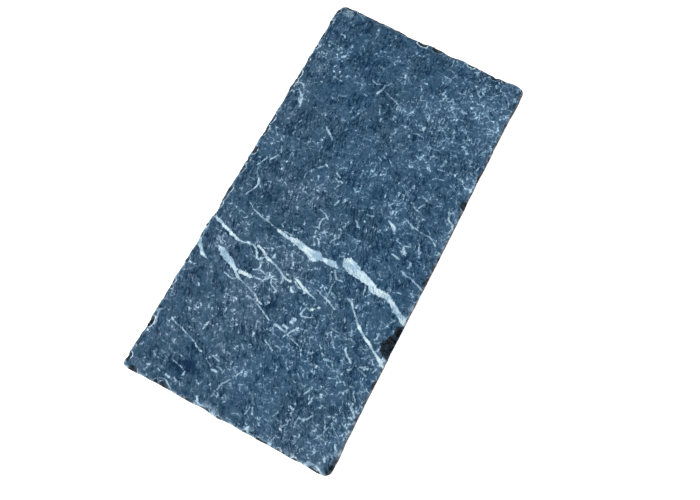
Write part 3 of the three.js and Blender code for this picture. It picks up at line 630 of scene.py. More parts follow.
# %% The veins: x, y and half width in mm
VEINS = [
    [(-119, -33, 0.3), (-113, -36, 0.6), (-108, -40, 0.8), (-100, -42, 0.9), (-90, -45, 0.9),
     (-80, -46, 0.7), (-74, -48, 0.7), (-64, -49.7, 0.6), (-63, -50.3, 2.2), (-55, -51.5, 2.2),
     (-50, -52.8, 2), (-45, -53, 2.4), (-40, -52.5, 3.2), (-35, -52, 4), (-31, -53.5, 3.4),
     (-27, -53.5, 4.2), (-22, -55, 5), (-17, -56, 4.4), (-12, -57, 4.8), (-7, -58, 6.2), (-2, -59, 7.2),
     (1, -58.5, 7), (5, -57.2, 3.8), (9, -57.5, 2.6), (15, -57, 3), (20, -57, 4.2), (25, -56.5, 4.2),
     (29, -57.5, 2.4), (32, -58, 1)],
    [(42, -47, 8.2), (45, -47, 9), (50, -48.8, 9), (55, -50.2, 8), (60, -51.8, 6.8), (65, -53.3, 6.6),
     (70, -54.3, 6), (75, -55, 5), (80, -56, 4.5), (84, -58, 4.6), (88, -62, 4.8), (92, -62.8, 4.7),
     (97, -62.7, 4.3), (107, -62, 4.2), (112, -63, 3.7), (117, -66, 3.4), (121, -68, 3.5),
     (126, -71.3, 3.5), (131, -74.7, 3.6), (136, -77.8, 3.8), (140, -79.5, 4.4), (144, -82, 4.4),
     (148, -84, 4), (154, -87, 3.5)],
    [(-36, -54, 0.8), (-34.5, -57.5, 1.3), (-33.5, -60.5, 0.7)],
    [(-154, -71, 1.4), (-147, -73.5, 1.7), (-142, -75.5, 2.4), (-138, -75.8, 1.6), (-132, -79, 1.9),
     (-126, -80.5, 2), (-120, -82, 2), (-117.5, -84, 2.6), (-112, -84.5, 1.5), (-107, -86.5, 1.8),
     (-104, -87.5, 1.4), (-99, -87, 1), (-94, -86, 1), (-91, -84.2, 1.6), (-87, -84, 1.3),
     (-82, -84.5, 1.1), (-78, -86, 1.3), (-75, -89, 1.3), (-72, -93, 1.3), (-70, -97, 1.3),
     (-67, -98, 1.1), (-63, -96.5, 0.9)],
    [(-78, -81.5, 1.4), (-75, -82.3, 1.6), (-72, -83, 1.4), (-67, -84.5, 1.6), (-63, -88, 1.6),
     (-58, -91, 1.8), (-54, -92, 2.1), (-50, -92.5, 1.3), (-44, -94, 1.1), (-36, -97, 1.1),
     (-30, -100, 1.1), (-25, -103, 1.2), (-20, -104.5, 1.5), (-16, -104.8, 1.5), (-12, -104, 1.3)],
    [(-24.5, -105, 1.4), (-23.5, -110, 1.4), (-25, -114, 1)],
    [(-13, -98, 1), (-6, -98.8, 1.9), (-1, -101, 1.7), (2, -103, 1.5), (8, -105, 2.8), (12, -106.3, 1.8),
     (16, -108, 1.1), (23, -109, 1), (28, -111, 0.7)],
    [(-10, -100.5, 1), (-6, -103.5, 1.1), (-2, -106, 1.1), (3, -107.3, 0.9)],
    [(-50, -81, 1.2), (-50.5, -84.5, 1.4), (-51, -88, 1.3)],
    [(-69, -81, 0.8), (-64, -80, 0.9), (-61, -77, 1), (-58, -76, 1.2), (-56, -77.2, 1),
     (-57, -80, 0.9)],
    [(-58, -90, 0.7), (-62, -93, 0.8), (-66, -97, 0.8)],
    [(-61, -98.5, 0.8), (-60, -104, 1.2), (-60, -108.5, 1.6), (-62, -111, 1), (-64, -112.3, 1),
     (-68, -114, 0.8)],
    [(-60, -109, 1), (-50, -111, 0.9), (-42, -113.5, 0.9), (-36, -112, 0.9), (-30, -110.5, 0.8)],
    [(-62, -120, 1.2), (-58, -121.5, 1.1), (-52, -120.3, 1), (-48, -121, 1), (-44.5, -116.5, 1.1),
     (-41, -114.5, 0.8)],
    [(-38.5, -113, 0.9), (-36.5, -117, 1.2), (-35, -120, 0.8), (-29, -122, 0.7), (-24, -125, 0.8),
     (-27, -129, 0.8), (-31, -127, 0.7)],
    [(-40, -115, 0.6), (-30, -117, 0.6), (-24, -118, 0.6)],
    [(-129.5, -94.5, 0.6), (-126, -98.5, 0.8), (-122, -103, 1)],
    [(-122, -107.5, 2.4), (-119, -108.7, 3.7), (-115, -110.3, 4.4), (-110, -112.8, 4.3),
     (-104, -116, 4.2), (-98, -118, 3.8), (-93, -121, 2.8), (-88, -124.3, 2.2), (-84, -128, 1.5),
     (-80, -131.5, 1.9), (-76, -133, 1), (-70, -134.5, 0.8), (-60, -137, 0.9), (-54, -139.5, 0.9),
     (-48, -141, 1), (-43, -145, 1.4), (-39, -147.3, 0.9), (-35, -148.5, 1.2), (-31, -149.5, 0.6)],
    [(-82.5, -124, 2.5), (-74, -123.7, 2.7), (-66, -123.5, 2.4), (-63.5, -122, 1.2)],
    [(-100, -134, 0.7), (-95, -135, 0.9), (-90, -136.5, 1), (-85, -137.5, 0.9), (-82, -135, 1),
     (-80, -132, 1.1)],
    [(-56, -148, 0.9), (-51, -148.4, 1.1), (-46, -149, 0.8), (-41, -151, 0.6), (-37, -152, 0.8),
     (-30, -155, 0.9), (-22, -159, 0.8), (-18, -161, 1.2), (-13, -163, 0.7)],
    [(-6, -165, 1.3), (-2, -164, 1.6), (8, -166, 1), (16, -168, 0.9), (24, -171, 0.6), (33, -173, 0.8),
     (40, -175.5, 0.5)],
    [(12, -175, 0.6), (16, -168, 0.9), (20, -161, 0.9), (24, -156, 1)],
    [(-154, -107, 2), (-150, -111.5, 2.4), (-147, -117, 2.4), (-142, -122, 2), (-138, -126, 2.4),
     (-133, -128, 1.3), (-128, -129.5, 0.7)],
    [(63, -90, 0.8), (67, -89, 1.2), (71, -90.5, 1.3), (73.5, -93.5, 1.5), (76, -97, 0.9), (80, -101, 1),
     (84, -105, 1.1), (87, -108, 1), (90, -111.3, 1), (93, -113.5, 1.5), (95, -115.5, 2.4),
     (98, -118, 1.4), (102, -120.5, 1.3), (106, -123, 1.5), (110, -125.5, 1.7), (113, -127, 1.9),
     (116.5, -128.5, 2.3), (119, -130, 1.9), (123, -132.8, 1.3), (128, -136, 1.3), (132, -138.3, 1.5),
     (136, -140.4, 2.2), (139, -142.2, 2.4), (141.5, -143.2, 2.2), (143, -145.5, 1.8),
     (145.5, -147.3, 1.8), (148, -146, 1.2)],
    [(93.5, -118.5, 0.8), (93, -121.5, 0.8), (94, -124, 0.9)],
    [(31, -62, 1), (33, -65.5, 1.3), (35, -69, 1), (38, -72, 1.5), (41, -72.7, 0.7), (44, -72, 1),
     (48, -72, 0.7)],
    [(38, -75, 0.8), (37.5, -85, 0.7), (38.5, -93, 0.9), (38, -98, 0.7)],
    [(22, -98, 0.8), (27, -98, 1), (30, -101, 0.8), (38, -102.3, 1), (44, -104.3, 1.3),
     (48, -106.5, 0.8), (52, -107.5, 0.9), (56, -110.5, 0.8)],
    [(92, -146.5, 1.2), (93.5, -151, 1.5), (96.5, -153.7, 0.9), (99, -156.3, 1.7), (103, -159, 1.1),
     (106, -161, 1.4), (109, -163, 1)],
    [(119, -161.7, 1), (123.5, -160.5, 1.2), (127.3, -159.7, 1.5), (127, -163.5, 1.2)],
    [(117.5, -163.5, 0.5), (121, -165, 0.6), (126, -166.3, 0.6), (134, -168.5, 0.8)],
    [(110, -21.5, 0.8), (114, -23, 1.2), (119, -25.5, 0.7), (125, -25, 0.9), (133, -28, 1),
     (140, -30, 1.1), (145, -32, 1.2), (152, -36, 1)],
    [(-130, -217, 0.4), (-126.5, -220, 1.6), (-118, -223, 0.6), (-110, -224, 0.9), (-102, -227.5, 0.9),
     (-95, -229, 0.4), (-85, -233, 0.7), (-80.6, -236, 0.9), (-75, -238.5, 1), (-69.5, -239, 0.8)],
    [(-55, 212, 0.5), (-50, 209.5, 0.9), (-46, 208.5, 0.8), (-42, 210.5, 1.2), (-37, 212.5, 0.8)],
    [(-28, 217.5, 0.9), (-31, 214.5, 0.8), (-33.5, 212, 1.1), (-34, 207, 1.2), (-36, 201, 1.3),
     (-38, 196, 1.5), (-39, 193, 1)],
    [(-32, 204.5, 0.5), (-24, 201.5, 0.5), (-15, 198, 1), (-10, 196.5, 0.7), (-3, 193.5, 1.1),
     (4, 191, 1), (10, 189.5, 0.8), (16, 187.5, 0.4)],
    [(-143, 151, 0.7), (-139, 146, 1.1), (-134, 141.5, 1.2), (-131, 138, 1.8), (-130, 133, 2.2),
     (-128, 128, 1.6), (-127, 124, 1)],
    [(-131, 137, 1.2), (-124, 137.5, 1.0)],
    [(-152, 157, 1.6), (-146, 157, 1.6), (-142, 158, 1), (-139, 157, 1.4), (-136.5, 154.5, 1)],
    [(-131, 9, 0.4), (-125, 3.5, 0.7), (-124, 2.5, 1.6), (-122, -1, 1.8), (-120.5, -5, 1.3),
     (-121, -10, 1.1), (-123.5, -16, 0.9), (-127, -23, 0.8), (-129, -26, 0.5)],
    [(80, 47, 0.5), (88, 44, 0.9), (96, 40.5, 1.2), (103, 39.5, 1), (111, 38.5, 1), (118, 37.5, 0.6),
     (124, 38.5, 1.1), (130, 35, 0.5), (137, 30.5, 1.3)],
    [(131, 85, 0.8), (134, 79, 1.1), (136, 74, 1.2), (140, 71, 1.3), (144, 69.5, 1.3), (146, 64, 1.4),
     (145, 58, 1.2), (143.5, 55, 1.2)],
    [(88, -8, 0.7), (90, -6.8, 1), (95, -8, 1.1), (102, -9.3, 1)],
    [(63, 33, 0.8), (67, 31, 1.5), (71, 29, 1.8), (74.5, 26.5, 2.2), (78, 22.5, 1)],
    [(85, 66.5, 1.5), (90, 65, 1), (96, 63.5, 0.9), (103, 60.5, 0.5)],
    [(-18, -26, 1.1), (-16.5, -31, 0.8), (-15, -35, 0.9), (-13.5, -36.5, 0.8)],
    [(-11.5, -35, 0.9), (-8, -37, 1), (-6, -39.7, 1.3), (-4.5, -42, 0.9)],
    [(-80, 116.5, 0.7), (-74, 111.5, 1.5), (-68, 107.5, 1.5), (-64, 104.5, 1.3), (-61, 101, 0.8)],
    [(-105, 230, 0.8), (-107.5, 226, 2), (-112, 222.5, 1.4)],
    [(31, -122.5, 1.4), (29.5, -124, 1.9), (27, -127, 1), (24, -124.5, 0.9), (21.5, -126, 1),
     (20, -130, 1.2), (19, -136.5, 1.2), (22, -138.5, 1.1), (28, -136.3, 0.9), (32, -135, 0.7),
     (38, -131, 0.5)],
    [(80.5, -87, 0.7), (80.5, -92, 1), (79.5, -96, 1.4)],
    [(-25, -141.5, 1.6), (-27, -145, 0.9)],
]
print("veins:", len(VEINS))

# %% [markdown]
# ## Wisps and specks of calcite
#
# Away from the veins the whole slab is sprinkled with short broken wisps. Most of them could be noise,
# but the brightest ones give this slab its face, so they are listed one by one too. Each row starts with
# half the wisp's width and goes on with the points it passes through. Bright wisps and dull ones are
# two lists, so that one number each sets how bright they are.

# %% Bright wisps: half width, then x and y of each point, in mm
WISPS = [
    (1.2, -115, 88, -115, 82), (1, -137, 93, -135, 87), (1.1, -126, 69, -122, 66.5),
    (1.2, -114, 108, -115, 104, -116.5, 102), (1.1, -130, 62, -125, 64),
    (0.9, -120.5, 60.5, -118, 55, -115, 50), (1.1, -118.5, 44.5, -121.5, 38.5, -125.5, 32),
    (1, -129, 36, -131, 30, -133.5, 24, -136.5, 17.5), (0.9, -141, 30.5, -137, 30),
    (0.9, -98, 20, -94, 14.5), (0.9, -90, 15, -84, 11), (1.2, -53, 61, -57, 58, -60, 54),
    (0.9, -53, 46, -51, 41, -50, 37), (1.1, -61, 15, -57, 15.5, -55.5, 13.5),
    (1, -64, 8, -63.5, 3, -62, -2), (0.8, -57, -7, -55, -12, -52.5, -17),
    (1.2, -34, 56, -29, 52.5, -25, 50, -21, 52.5, -17, 50.5), (0.9, -33, 61, -28, 59, -24, 56),
    (1.1, -10, 27, -11, 22, -13, 15), (1.1, -28, 3, -22, 1.5, -17, 0, -13, -3.5, -10, -5),
    (1.1, -14, -4, -17.5, -8, -18, -14, -17, -19, -15, -23), (1.5, -9, -26, -3, -21),
    (1, -40, -20, -37, -23, -36, -28), (0.7, -48, -36, -45, -40, -40, -37),
    (1, -110, -51, -111, -56, -115, -57), (1.2, 14, 120, 17, 117.5, 20, 115.5), (1.2, 8, 110, 15, 106),
    (0.9, 58, 110, 58.5, 104, 57, 99, 58, 96), (1.2, 80, 127, 83.5, 123.5),
    (0.9, 90, 114.5, 93, 118, 98, 119.5, 107, 121.5), (0.9, 61, 75, 63.5, 75.5, 67, 72.5),
    (0.9, 69, 76.5, 72, 77.5, 73.5, 74, 75, 70), (1, 99, 77, 95, 75, 93.5, 71, 91.5, 67),
    (1.3, 103, 56, 106.5, 58), (1.2, 53, 51, 56, 55, 58.5, 58), (1.6, 62, 49, 64, 44, 62, 41),
    (1, 70, 41, 74, 43), (1, 113, 24.5, 117, 21.5, 118, 16, 120.5, 12, 121, 8.5),
    (0.9, 124, 15, 121, 9.5), (0.8, 133, 89, 137, 86, 139, 84),
    (0.9, 134, 46, 137, 42.5, 141, 42, 143.5, 46), (1.1, 85, 13, 91, 11.5, 97, 10, 103, 12, 108, 14),
    (1.6, 98, 9, 101, 6, 104, 2, 100, 2, 103, -1), (1, 37, 44, 35, 40, 34.5, 36),
    (1.2, 32, 26, 38, 27, 43, 29.5), (1.3, 23, 12, 27, 9, 30, 4.5, 33, 5.5), (1, -1, 53, 2, 50, 6, 48),
    (1.2, 12, -4, 15, -7), (1.2, 8, -10, 14, -10.5), (1, 12, -17, 15, -21, 11, -25, 8.5, -28, 7, -33.5),
    (1.2, -130, 254.5, -127, 256, -124, 256, -121, 252), (1.4, -107, 247, -104, 243.5),
    (1.2, -121, 235.5, -113, 235), (1.6, -137.5, 232, -134, 230),
    (0.9, -120, 214.5, -124, 211, -129, 209), (1.3, -148, 229, -147, 222), (1.2, -120, 173, -116, 173.5),
    (1, -121, 141, -119.5, 137, -118, 131), (0.9, -81, 220, -81, 213, -79, 206, -77, 200, -74, 193),
    (0.8, -80, 238, -76.5, 237, -76, 233), (0.9, -107, 190, -101, 188.5, -90, 187.5),
    (1.2, -40, 252, -38, 249.5, -35, 247.5), (1, -16, 255, -18.5, 250), (1, -56, 202, -52, 204),
    (1.1, -53, 185, -49, 184.5, -47, 182), (1, -27, 181, -24, 177, -22, 172, -19.5, 167),
    (0.9, -17, 163.5, -13, 161.5), (1.1, -62, 137, -58, 136), (1.8, 74, 296, 78, 293),
    (1.2, 82, 289, 85, 284), (1.8, 97, 280, 95.5, 275), (1.1, 35, 280, 41, 280, 47, 278.5),
    (0.9, 88, 270.5, 91, 267, 94, 263, 97, 259), (0.9, 104, 264.5, 112, 265.5),
    (1.2, 111, 248, 115, 251.5, 119, 252.5), (2, 15, 241, 20, 244),
    (1.2, 11, 238, 14, 234, 17, 230, 16.5, 226), (1, 34, 234, 31, 228),
    (1.3, 31, 219, 33, 213, 34.5, 208, 33, 202), (1.2, 44, 202, 46, 195, 45.5, 190.5),
    (1.4, 82, 230, 86, 228, 90, 229.5), (1.5, 35, 179, 42, 181), (1.2, 54, 178.5, 58, 180, 60, 176),
    (1.3, 36, 164, 42, 166.5, 50, 166), (1.8, 32, 160, 33, 155), (1, 79.5, 171, 77, 165, 74, 162),
    (1, 80, 169, 82, 165.5, 84.5, 163), (1.6, 72, 144, 75, 145, 79, 148.5), (1, 107.5, 191, 106, 185),
    (1.2, 93, 201, 97, 203), (1.2, 101, 204, 103, 200, 107, 197), (0.8, 85, 192, 91, 196),
    (1.3, 93, 147, 95, 142, 94.5, 136), (0.9, 90, 131, 95, 133, 101, 134), (1.2, 121, 133, 126, 133.5),
    (0.9, 130, 146, 132.5, 140, 134.5, 135), (1.1, 137.5, 178.5, 135.5, 174.5),
    (0.9, 129, 212, 132, 217, 136, 217, 139, 212, 142, 205.5),
    (1, 124, 286, 126, 282.5, 131, 280.5, 137, 272, 140, 266), (1.5, 110, 297, 113, 294),
    (1.1, 117, 277, 113, 271), (1, 137, 168, 140, 162, 139.5, 155), (0.9, -58.5, -239, -57.5, -242),
    (1, -56, -237, -48, -238, -44, -239), (0.7, -62, -243, -50, -250),
    (0.8, -43, -246, -38, -246.5, -32, -249), (0.9, -29.5, -231, -29.5, -237),
    (1.2, -11, -236.5, -13, -240, -16, -244.5), (0.9, -19.5, -246.7, -17, -250),
    (0.9, -20, -252, -22.5, -256, -25, -260, -27.5, -262, -28, -268, -29, -273),
    (1, -30, -273.5, -29.5, -278, -31.7, -283), (1, -27, -274, -24, -276.5, -23.5, -280.5),
    (1.2, -95, -180, -94, -183, -92, -186), (1, -88, -182, -88, -186),
    (1.2, -106, -184, -103, -187, -104, -189), (1.2, -71, -174, -71, -181),
    (0.8, -27, -173, -25, -177, -23, -182), (1.2, -82, -200, -83.5, -205, -84.5, -210, -85, -214),
    (0.7, -31, -206, -27, -208, -23, -212), (0.8, -20, -207, -16.6, -203.7),
    (0.7, -16.6, -221, -11, -228.7), (1.5, -126, -286, -121, -283), (1.5, -98, -285, -90, -286),
    (1, -86, -283, -80, -286, -79, -291), (1.4, -78, -270, -77, -274, -79, -278),
    (0.7, -111, -283, -105, -285), (0.7, -109, -260.5, -104, -263, -97, -265.5, -88, -267, -80, -269.5),
    (1.2, -48, -290, -43, -295), (2.1, -9, -110, -8, -114, -3, -116),
    (1, -98, -68, -101, -71, -104, -67), (0.9, -85, -101, -80, -102), (1.3, -11, -47, -9.5, -43.5),
    (1, 13.5, -36.5, 14, -33, 17, -30, 20, -28), (0.6, -131, -157, -125, -159),
    (1.1, -122, -162, -119, -166), (0.5, -42, -78, -40, -82, -36, -88, -31, -93),
    (1.1, -6, -187, -2, -190, 2, -191.5, 10, -195.5), (1, -57, -48, -50, -47.5, -43, -47.5),
    (1.8, 34, -118, 38, -117), (1, 56, -93, 55, -97), (1, 56, -101, 57, -106), (0.9, 53, -84, 51, -89),
    (1.2, 91, -80, 92.5, -84), (1.3, 120, -113, 123, -112, 123, -117, 121, -122),
    (0.7, 130, -119, 127, -123, 122, -126), (1, 72, -112.5, 75, -117, 76, -120.5),
    (0.6, 63, -131, 66, -134.5, 72, -135, 78, -135, 82, -136.5, 90, -137),
    (1.1, 78.5, -124, 81.5, -124.5), (1.1, 109.5, -50, 109.5, -54.5, 107.5, -58),
    (0.8, 118, -52, 121, -50.5, 126, -50), (1, 92, -46, 94.5, -44), (1, 70, -72, 70, -75.5),
    (0.9, 76, -61.5, 78.5, -64.5, 79.5, -70, 80.5, -76), (1.1, 142, -169.3, 148, -169),
    (1.3, 128, -152.5, 130, -149), (1, 138, -161, 140, -156, 141, -152.5),
    (0.9, 133, -157.5, 136, -155.5), (1, 67.5, -168.5, 73, -170), (1, 80, -178.5, 84, -179.5, 89, -181),
    (1.2, 107, -173, 110, -170.5, 112.5, -168.5), (1.9, 5, -160, 14, -161),
    (1.6, 11, -147, 14, -146, 17.5, -148), (1.5, 12, -151, 14.5, -152, 17, -151),
    (1.8, 70, -185, 70, -190), (1, 70.6, -192, 72.3, -198), (0.5, 72, -186, 80, -188, 88, -190.5),
    (1.4, 91, -191, 93.5, -193), (1.1, 100, -184.5, 104, -187.5, 108, -190),
    (1.1, 109, -187, 115, -190.5), (1.1, 120, -192, 119, -196, 116, -200, 118, -203),
    (0.8, 120, -188.6, 127.6, -188), (1, 127.5, -191, 129, -196, 134, -200.5, 136, -204),
    (0.9, 140, -181, 143, -184, 147, -184.5), (1.8, 133, -210, 137, -213.5, 141, -217.5, 144, -222),
    (1.5, 136, -225, 140, -223, 143, -224.5), (1, 131, -226, 134, -228),
    (1.2, 143, -229, 141.5, -233, 140.5, -238), (1, 141, -242.5, 147, -244), (1, 143.5, -249, 145, -253),
    (1.5, 137.5, -260, 139, -264, 142, -268), (0.8, 121, -240, 124, -243.5, 130, -248.5, 140, -252.5),
    (0.8, 120, -246, 118, -252, 118.5, -259), (0.8, 116, -261, 113, -265, 110, -269),
    (0.9, 111, -240, 115, -246, 117, -251),
    (1, 96, -242, 93, -248, 90, -251, 86, -254, 81, -253.5, 80, -258, 80.5, -262),
    (1.7, 64, -245.5, 67, -247, 71, -248.5), (1, 77, -216, 75, -221, 72, -226.5),
    (0.8, 79, -222, 81.5, -229), (1.3, 84, -223, 85, -229, 83.5, -234), (1.5, 91.5, -214, 95, -219),
    (1.3, 100.5, -226, 98.5, -232), (0.9, 54, -233, 52.5, -238), (1, 2, -213.5, 7, -220.5),
    (1.3, 22.5, -269, 24.5, -273, 27, -278), (0.9, 20, -270, 19, -276, 18, -282),
    (0.8, 54, -250, 55.5, -255, 54, -262, 50, -268), (1, 38, -274.5, 37, -278, 38.5, -282, 41.5, -286),
    (0.9, 66, -285, 65, -290, 63.5, -296), (2, 28, -297, 32, -295), (1.2, 91.5, -270, 92.5, -276),
    (1.2, 112, -287, 113.5, -290, 116, -291.5), (1.8, 133, -282, 136, -286),
    (0.9, -102, -293, -98, -291, -93, -291, -88, -293.5, -84, -297, -80, -300),
    (1.2, -46, -296, -40, -297, -33, -298.5, -27, -300), (1.2, 26, -299, 29, -294, 31, -291),
    (1, 31, -299, 35, -295, 39, -292.5), (1, 60, -298, 65, -299, 69, -300.5),
    (0.9, 97, -296.5, 99, -298, 103, -299.5),
    (0.9, 114, -298, 119, -295.5, 125, -294.8, 131, -295.5, 136, -298),
    (1, -144.3, -238, -144.3, -232, -145.5, -228, -147.2, -222, -148.4, -216),
    (1, -148, 287, -142, 287, -136, 286.5, -131, 289, -128, 293),
    (0.9, -24, 299, -21, 295, -15, 293, -9, 296, -6, 300), (0.9, 56, 299, 60, 297, 66, 297, 74, 300),
    (1, 37, 299, 38, 292, 38.5, 286), (0.8, 41.5, 300, 42.5, 294), (1.5, 108, 291, 112, 286),
    (1.3, -145, 291, -142, 289.5, -135, 288.8, -128, 289.5),
]
print("bright wisps:", len(WISPS))

# %% Dull wisps, and dots of calcite: x, y and radius
DULL_WISPS = [
    (0.7, -92, 121, -96, 116, -99, 109), (0.9, -107, 7, -105, 0, -103.5, -8), (0.9, -90, 90.5, -87, 82),
    (1.3, -20, 47, -22.5, 43, -24, 37), (1, 59, 88, 62, 84, 64, 80), (1, 88, 87, 93, 84.5, 100, 82.5),
    (1.8, 117, -5, 118, -10, 116.5, -16), (0.7, -116, 148.5, -109, 147, -103, 145.5),
    (1.2, -70, 254, -63, 249), (1, -95, 244, -85, 238), (1, -57, 236, -54, 229), (1, -81, 144, -83, 134),
    (0.8, 80, 273, 76, 269, 76, 264, 79, 261), (2, 113, 178, 118, 172),
    (2, -49, -254, -44, -252, -38, -252), (1.1, -127, -267, -121, -270), (1.1, -121, -270, -115, -271),
    (0.7, -25, -73, -24, -80, -27, -86), (0.7, -123, -50, -122, -56), (0.8, -123, -49, -113, -51),
    (1, -68, -61, -56, -60), (0.9, 12, -68, 12, -75), (0.8, 10, -88, 9, -92, 4, -95),
    (0.9, 89, -85, 87, -88, 86, -91), (1.2, 92, -97, 92, -101),
    (0.7, 104, -70, 103, -74, 98, -77, 93, -76.5), (0.8, -5, -38, -1, -36.5, 4, -36, 10, -37.5),
    (1, 125, -141, 123, -148), (1.2, 92, -134, 97, -137), (1.2, 88.5, -123, 91, -128, 88, -132),
    (0.8, 82, -159, 87, -157.5), (0.9, 135.7, -184, 134.5, -192), (1.3, 59, -202, 61.5, -207),
    (1.2, 26, -209, 26, -217), (0.7, 31, -193, 34, -199.5), (0.9, 36, -182, 38, -186, 39, -190),
]
DOTS = [
    (-111.4, 50, 1.2), (-106.7, -19, 2), (-50, 64, 2.6), (-65, 47, 2.2), (-14, 73, 1.4),
    (-12.6, 64, 1.3), (-6, 73, 1.1), (-3, 30, 2.8), (-1, 23, 1.2), (-17, 12, 1), (-62, -4, 1),
    (55, 118, 3.4), (23.5, 87, 2.3), (42, 83.5, 1.2), (57.8, 34, 1.4), (98, 47, 1.2), (105, 34, 1.3),
    (35, 16, 2.2), (137, -4, 1.2), (146, 35, 1.2), (-114, 214, 1.8), (-16.6, 187, 1.5),
    (-29.4, 191.6, 1), (-33.5, 166, 1), (58.4, 261, 1.5), (106, 245.7, 1), (28, 222, 1.5),
    (12, 215, 1.7), (45.5, 190, 1.5), (46, 178, 4), (24.7, 163, 1.3), (94, 174, 1.6), (107, 180, 1.9),
    (136, 191.6, 1.5), (68, 147, 1.2), (-143.5, -153.5, 1.3), (-102, -292.7, 1.4), (-30, -216, 1.2),
    (-5.5, -172, 1.2), (-58, -177, 1.2), (-22, -98, 2.2), (112, -77, 1.4), (133, -87, 1.8),
    (137.5, -51, 1.4), (118, -150, 1.6), (115, -162.5, 1.6), (100, -142, 1.5), (-95, -75, 1.1),
    (-88, -72, 1.1), (-72, -113.5, 1), (41, -121, 1.1), (27, -138.5, 1.1), (-127, -104, 1.2),
    (25, -155, 2.2), (15, -148.5, 2), (-70, -66.5, 1.1), (-18, -46.5, 1.2), (29, -36.5, 1.4),
    (57, -161.5, 1.3), (28, -185, 1.9), (53, -180.5, 1.3), (126, -184.5, 1), (19, -217, 1),
    (15, -228.7, 1.3), (48.5, -269, 1.3), (52, -273, 1.2), (106, -263, 1.3), (128, -288, 1.3),
    (84, -268, 1.1), (-148, -247, 2.4), (147, -135, 2.6), (142, -137, 1.8),
]
DULL_DOTS = [
    (-45, 114, 2), (14.5, -147, 3.4), (12.5, -151.5, 3), (-46, 62, 1.6), (-63, 50, 2.2), (97, 39, 3),
    (94, 6, 1.5), (94, -1, 1.5), (4, 31, 2.5), (143, 24, 1.2), (-117, 184, 1.6), (-138, 225, 1.4),
    (-55, 289, 2.2), (64, 183, 1), (68, 183.5, 1.2), (-30, -72, 3), (97, -181, 1.5), (25, -235.7, 1.2),
    (32, -264, 2), (25, -283, 1.2), (76, -284.5, 2), (103, -285, 2), (5, -39, 1.6), (3, -49.5, 1.5),
    (9, -47.5, 1.6), (54, -176, 3.5), (52, -158, 1.8), (104, -178, 1.4), (56, -103, 1.8),
    (127, -63, 1.1),
]
# Crevices: half width, then x and y of each point, in mm. The tone paints them dark as painted shade, and
# the bump sinks them.
CREVICES = [
    (1, -90, 38, -85, 30, -78, 19.5), (1, 12, 31, 18, 18, 22, 9, 29, 1), (0.9, 70, -273.5, 75, -287),
    (0.9, 133, -90, 133, -102), (0.9, -48, 187.5, -43, 178, -38.7, 169), (0.8, -67, 214, -60, 201.5),
    (0.9, -115, 276, -110, 265.5), (0.9, 87, 160, 91.5, 150), (0.8, 67, 239, 69, 229),
    (0.9, 0, 249, 5.5, 240),
]
print("dull wisps:", len(DULL_WISPS), " dots:", len(DOTS), " crevices:", len(CREVICES))

# %% [markdown]
# ## Sorting the lines
#
# A point can store its distance to one line at a time. Where two lines run so close together that the
# grid can't tell them apart, their distances would blend into nonsense, so such lines go to different
# sets, each with numbers of its own. Every line goes to the first set where it has room.

# %% Lines as arrays, sorted into sets that keep clear of each other
CLEAR = 6.4          # least distance between the edges of two lines of one set, in mm
NARROWER = 0.8       # half width of a wisp as a share of its row's, since its rough edge spreads it
DOT = dict(long=0.4, seed=7)      # how far a dot's two points lie from its middle, as a share of its radius


def line_of(row):
    """A wisp's row of numbers as points of x, y and half width."""
    return np.array([(*on_slab(x, y), NARROWER * row[0]) for x, y in zip(row[1::2], row[2::2])], float)


def dot_of(x, y, radius):
    """A dot as a very short line of two points, turned its own way."""
    x, y = on_slab(x, y)
    turn = hashed(int(x), int(y), DOT["seed"]) * math.pi
    step = np.array([math.cos(turn), math.sin(turn)]) * radius * DOT["long"]
    return np.array([(x - step[0], y - step[1], radius), (x + step[0], y + step[1], radius)])


def gap_between(a, b):
    """Least distance between the edges of two lines, measured at points about 2 mm apart."""
    def fine(line):
        t = np.linspace(0, len(line) - 1, 6 * len(line))
        return np.column_stack([np.interp(t, np.arange(len(line)), line[:, k]) for k in (0, 1, 2)])
    a, b = fine(a)[:, None], fine(b)[None]
    return (np.linalg.norm(a[..., :2] - b[..., :2], axis=2) - a[..., 2] - b[..., 2]).min()


def sort_into_sets(lines):
    """Each line goes to the first set where nothing else lies close to it."""
    sets = []
    for line, bright in lines:
        for group in sets:
            if all(gap_between(line, other) > CLEAR for other, _ in group):
                group.append((line, bright))
                break
        else:
            sets.append([(line, bright)])
    return sets


print("wisps are drawn", NARROWER, "as wide as written, at least", CLEAR, "mm apart")

# %% The sets, veins first
THINNER = 0.1        # taken off the half width of each vein, in mm, for the blur of its rough edge
BRIGHTNESS = dict(wisp=0.93, dull_wisp=0.7, dot=0.9, dull_dot=0.6)      # against 1 for a vein
lines = [(np.array([(*on_slab(x, y), half - THINNER) for x, y, half in vein]), 1.0) for vein in VEINS]
lines += [(line_of(row), BRIGHTNESS["wisp"]) for row in WISPS]
lines += [(line_of(row), BRIGHTNESS["dull_wisp"]) for row in DULL_WISPS]
lines += [(dot_of(*dot), BRIGHTNESS["dot"]) for dot in DOTS]
lines += [(dot_of(*dot), BRIGHTNESS["dull_dot"]) for dot in DULL_DOTS]
calcite_sets = sort_into_sets(lines)
print("calcite sets:", [len(group) for group in calcite_sets])

# %% [markdown]
# ## Measuring the distances
#
# In each set every point looks for its nearest line and measures square to it, above 0 on one side and
# below 0 on the other. Down the slab's sides the same drawing is read a little further along, so that a
# vein runs on down the sawn face at a slant, as it does inside the stone.

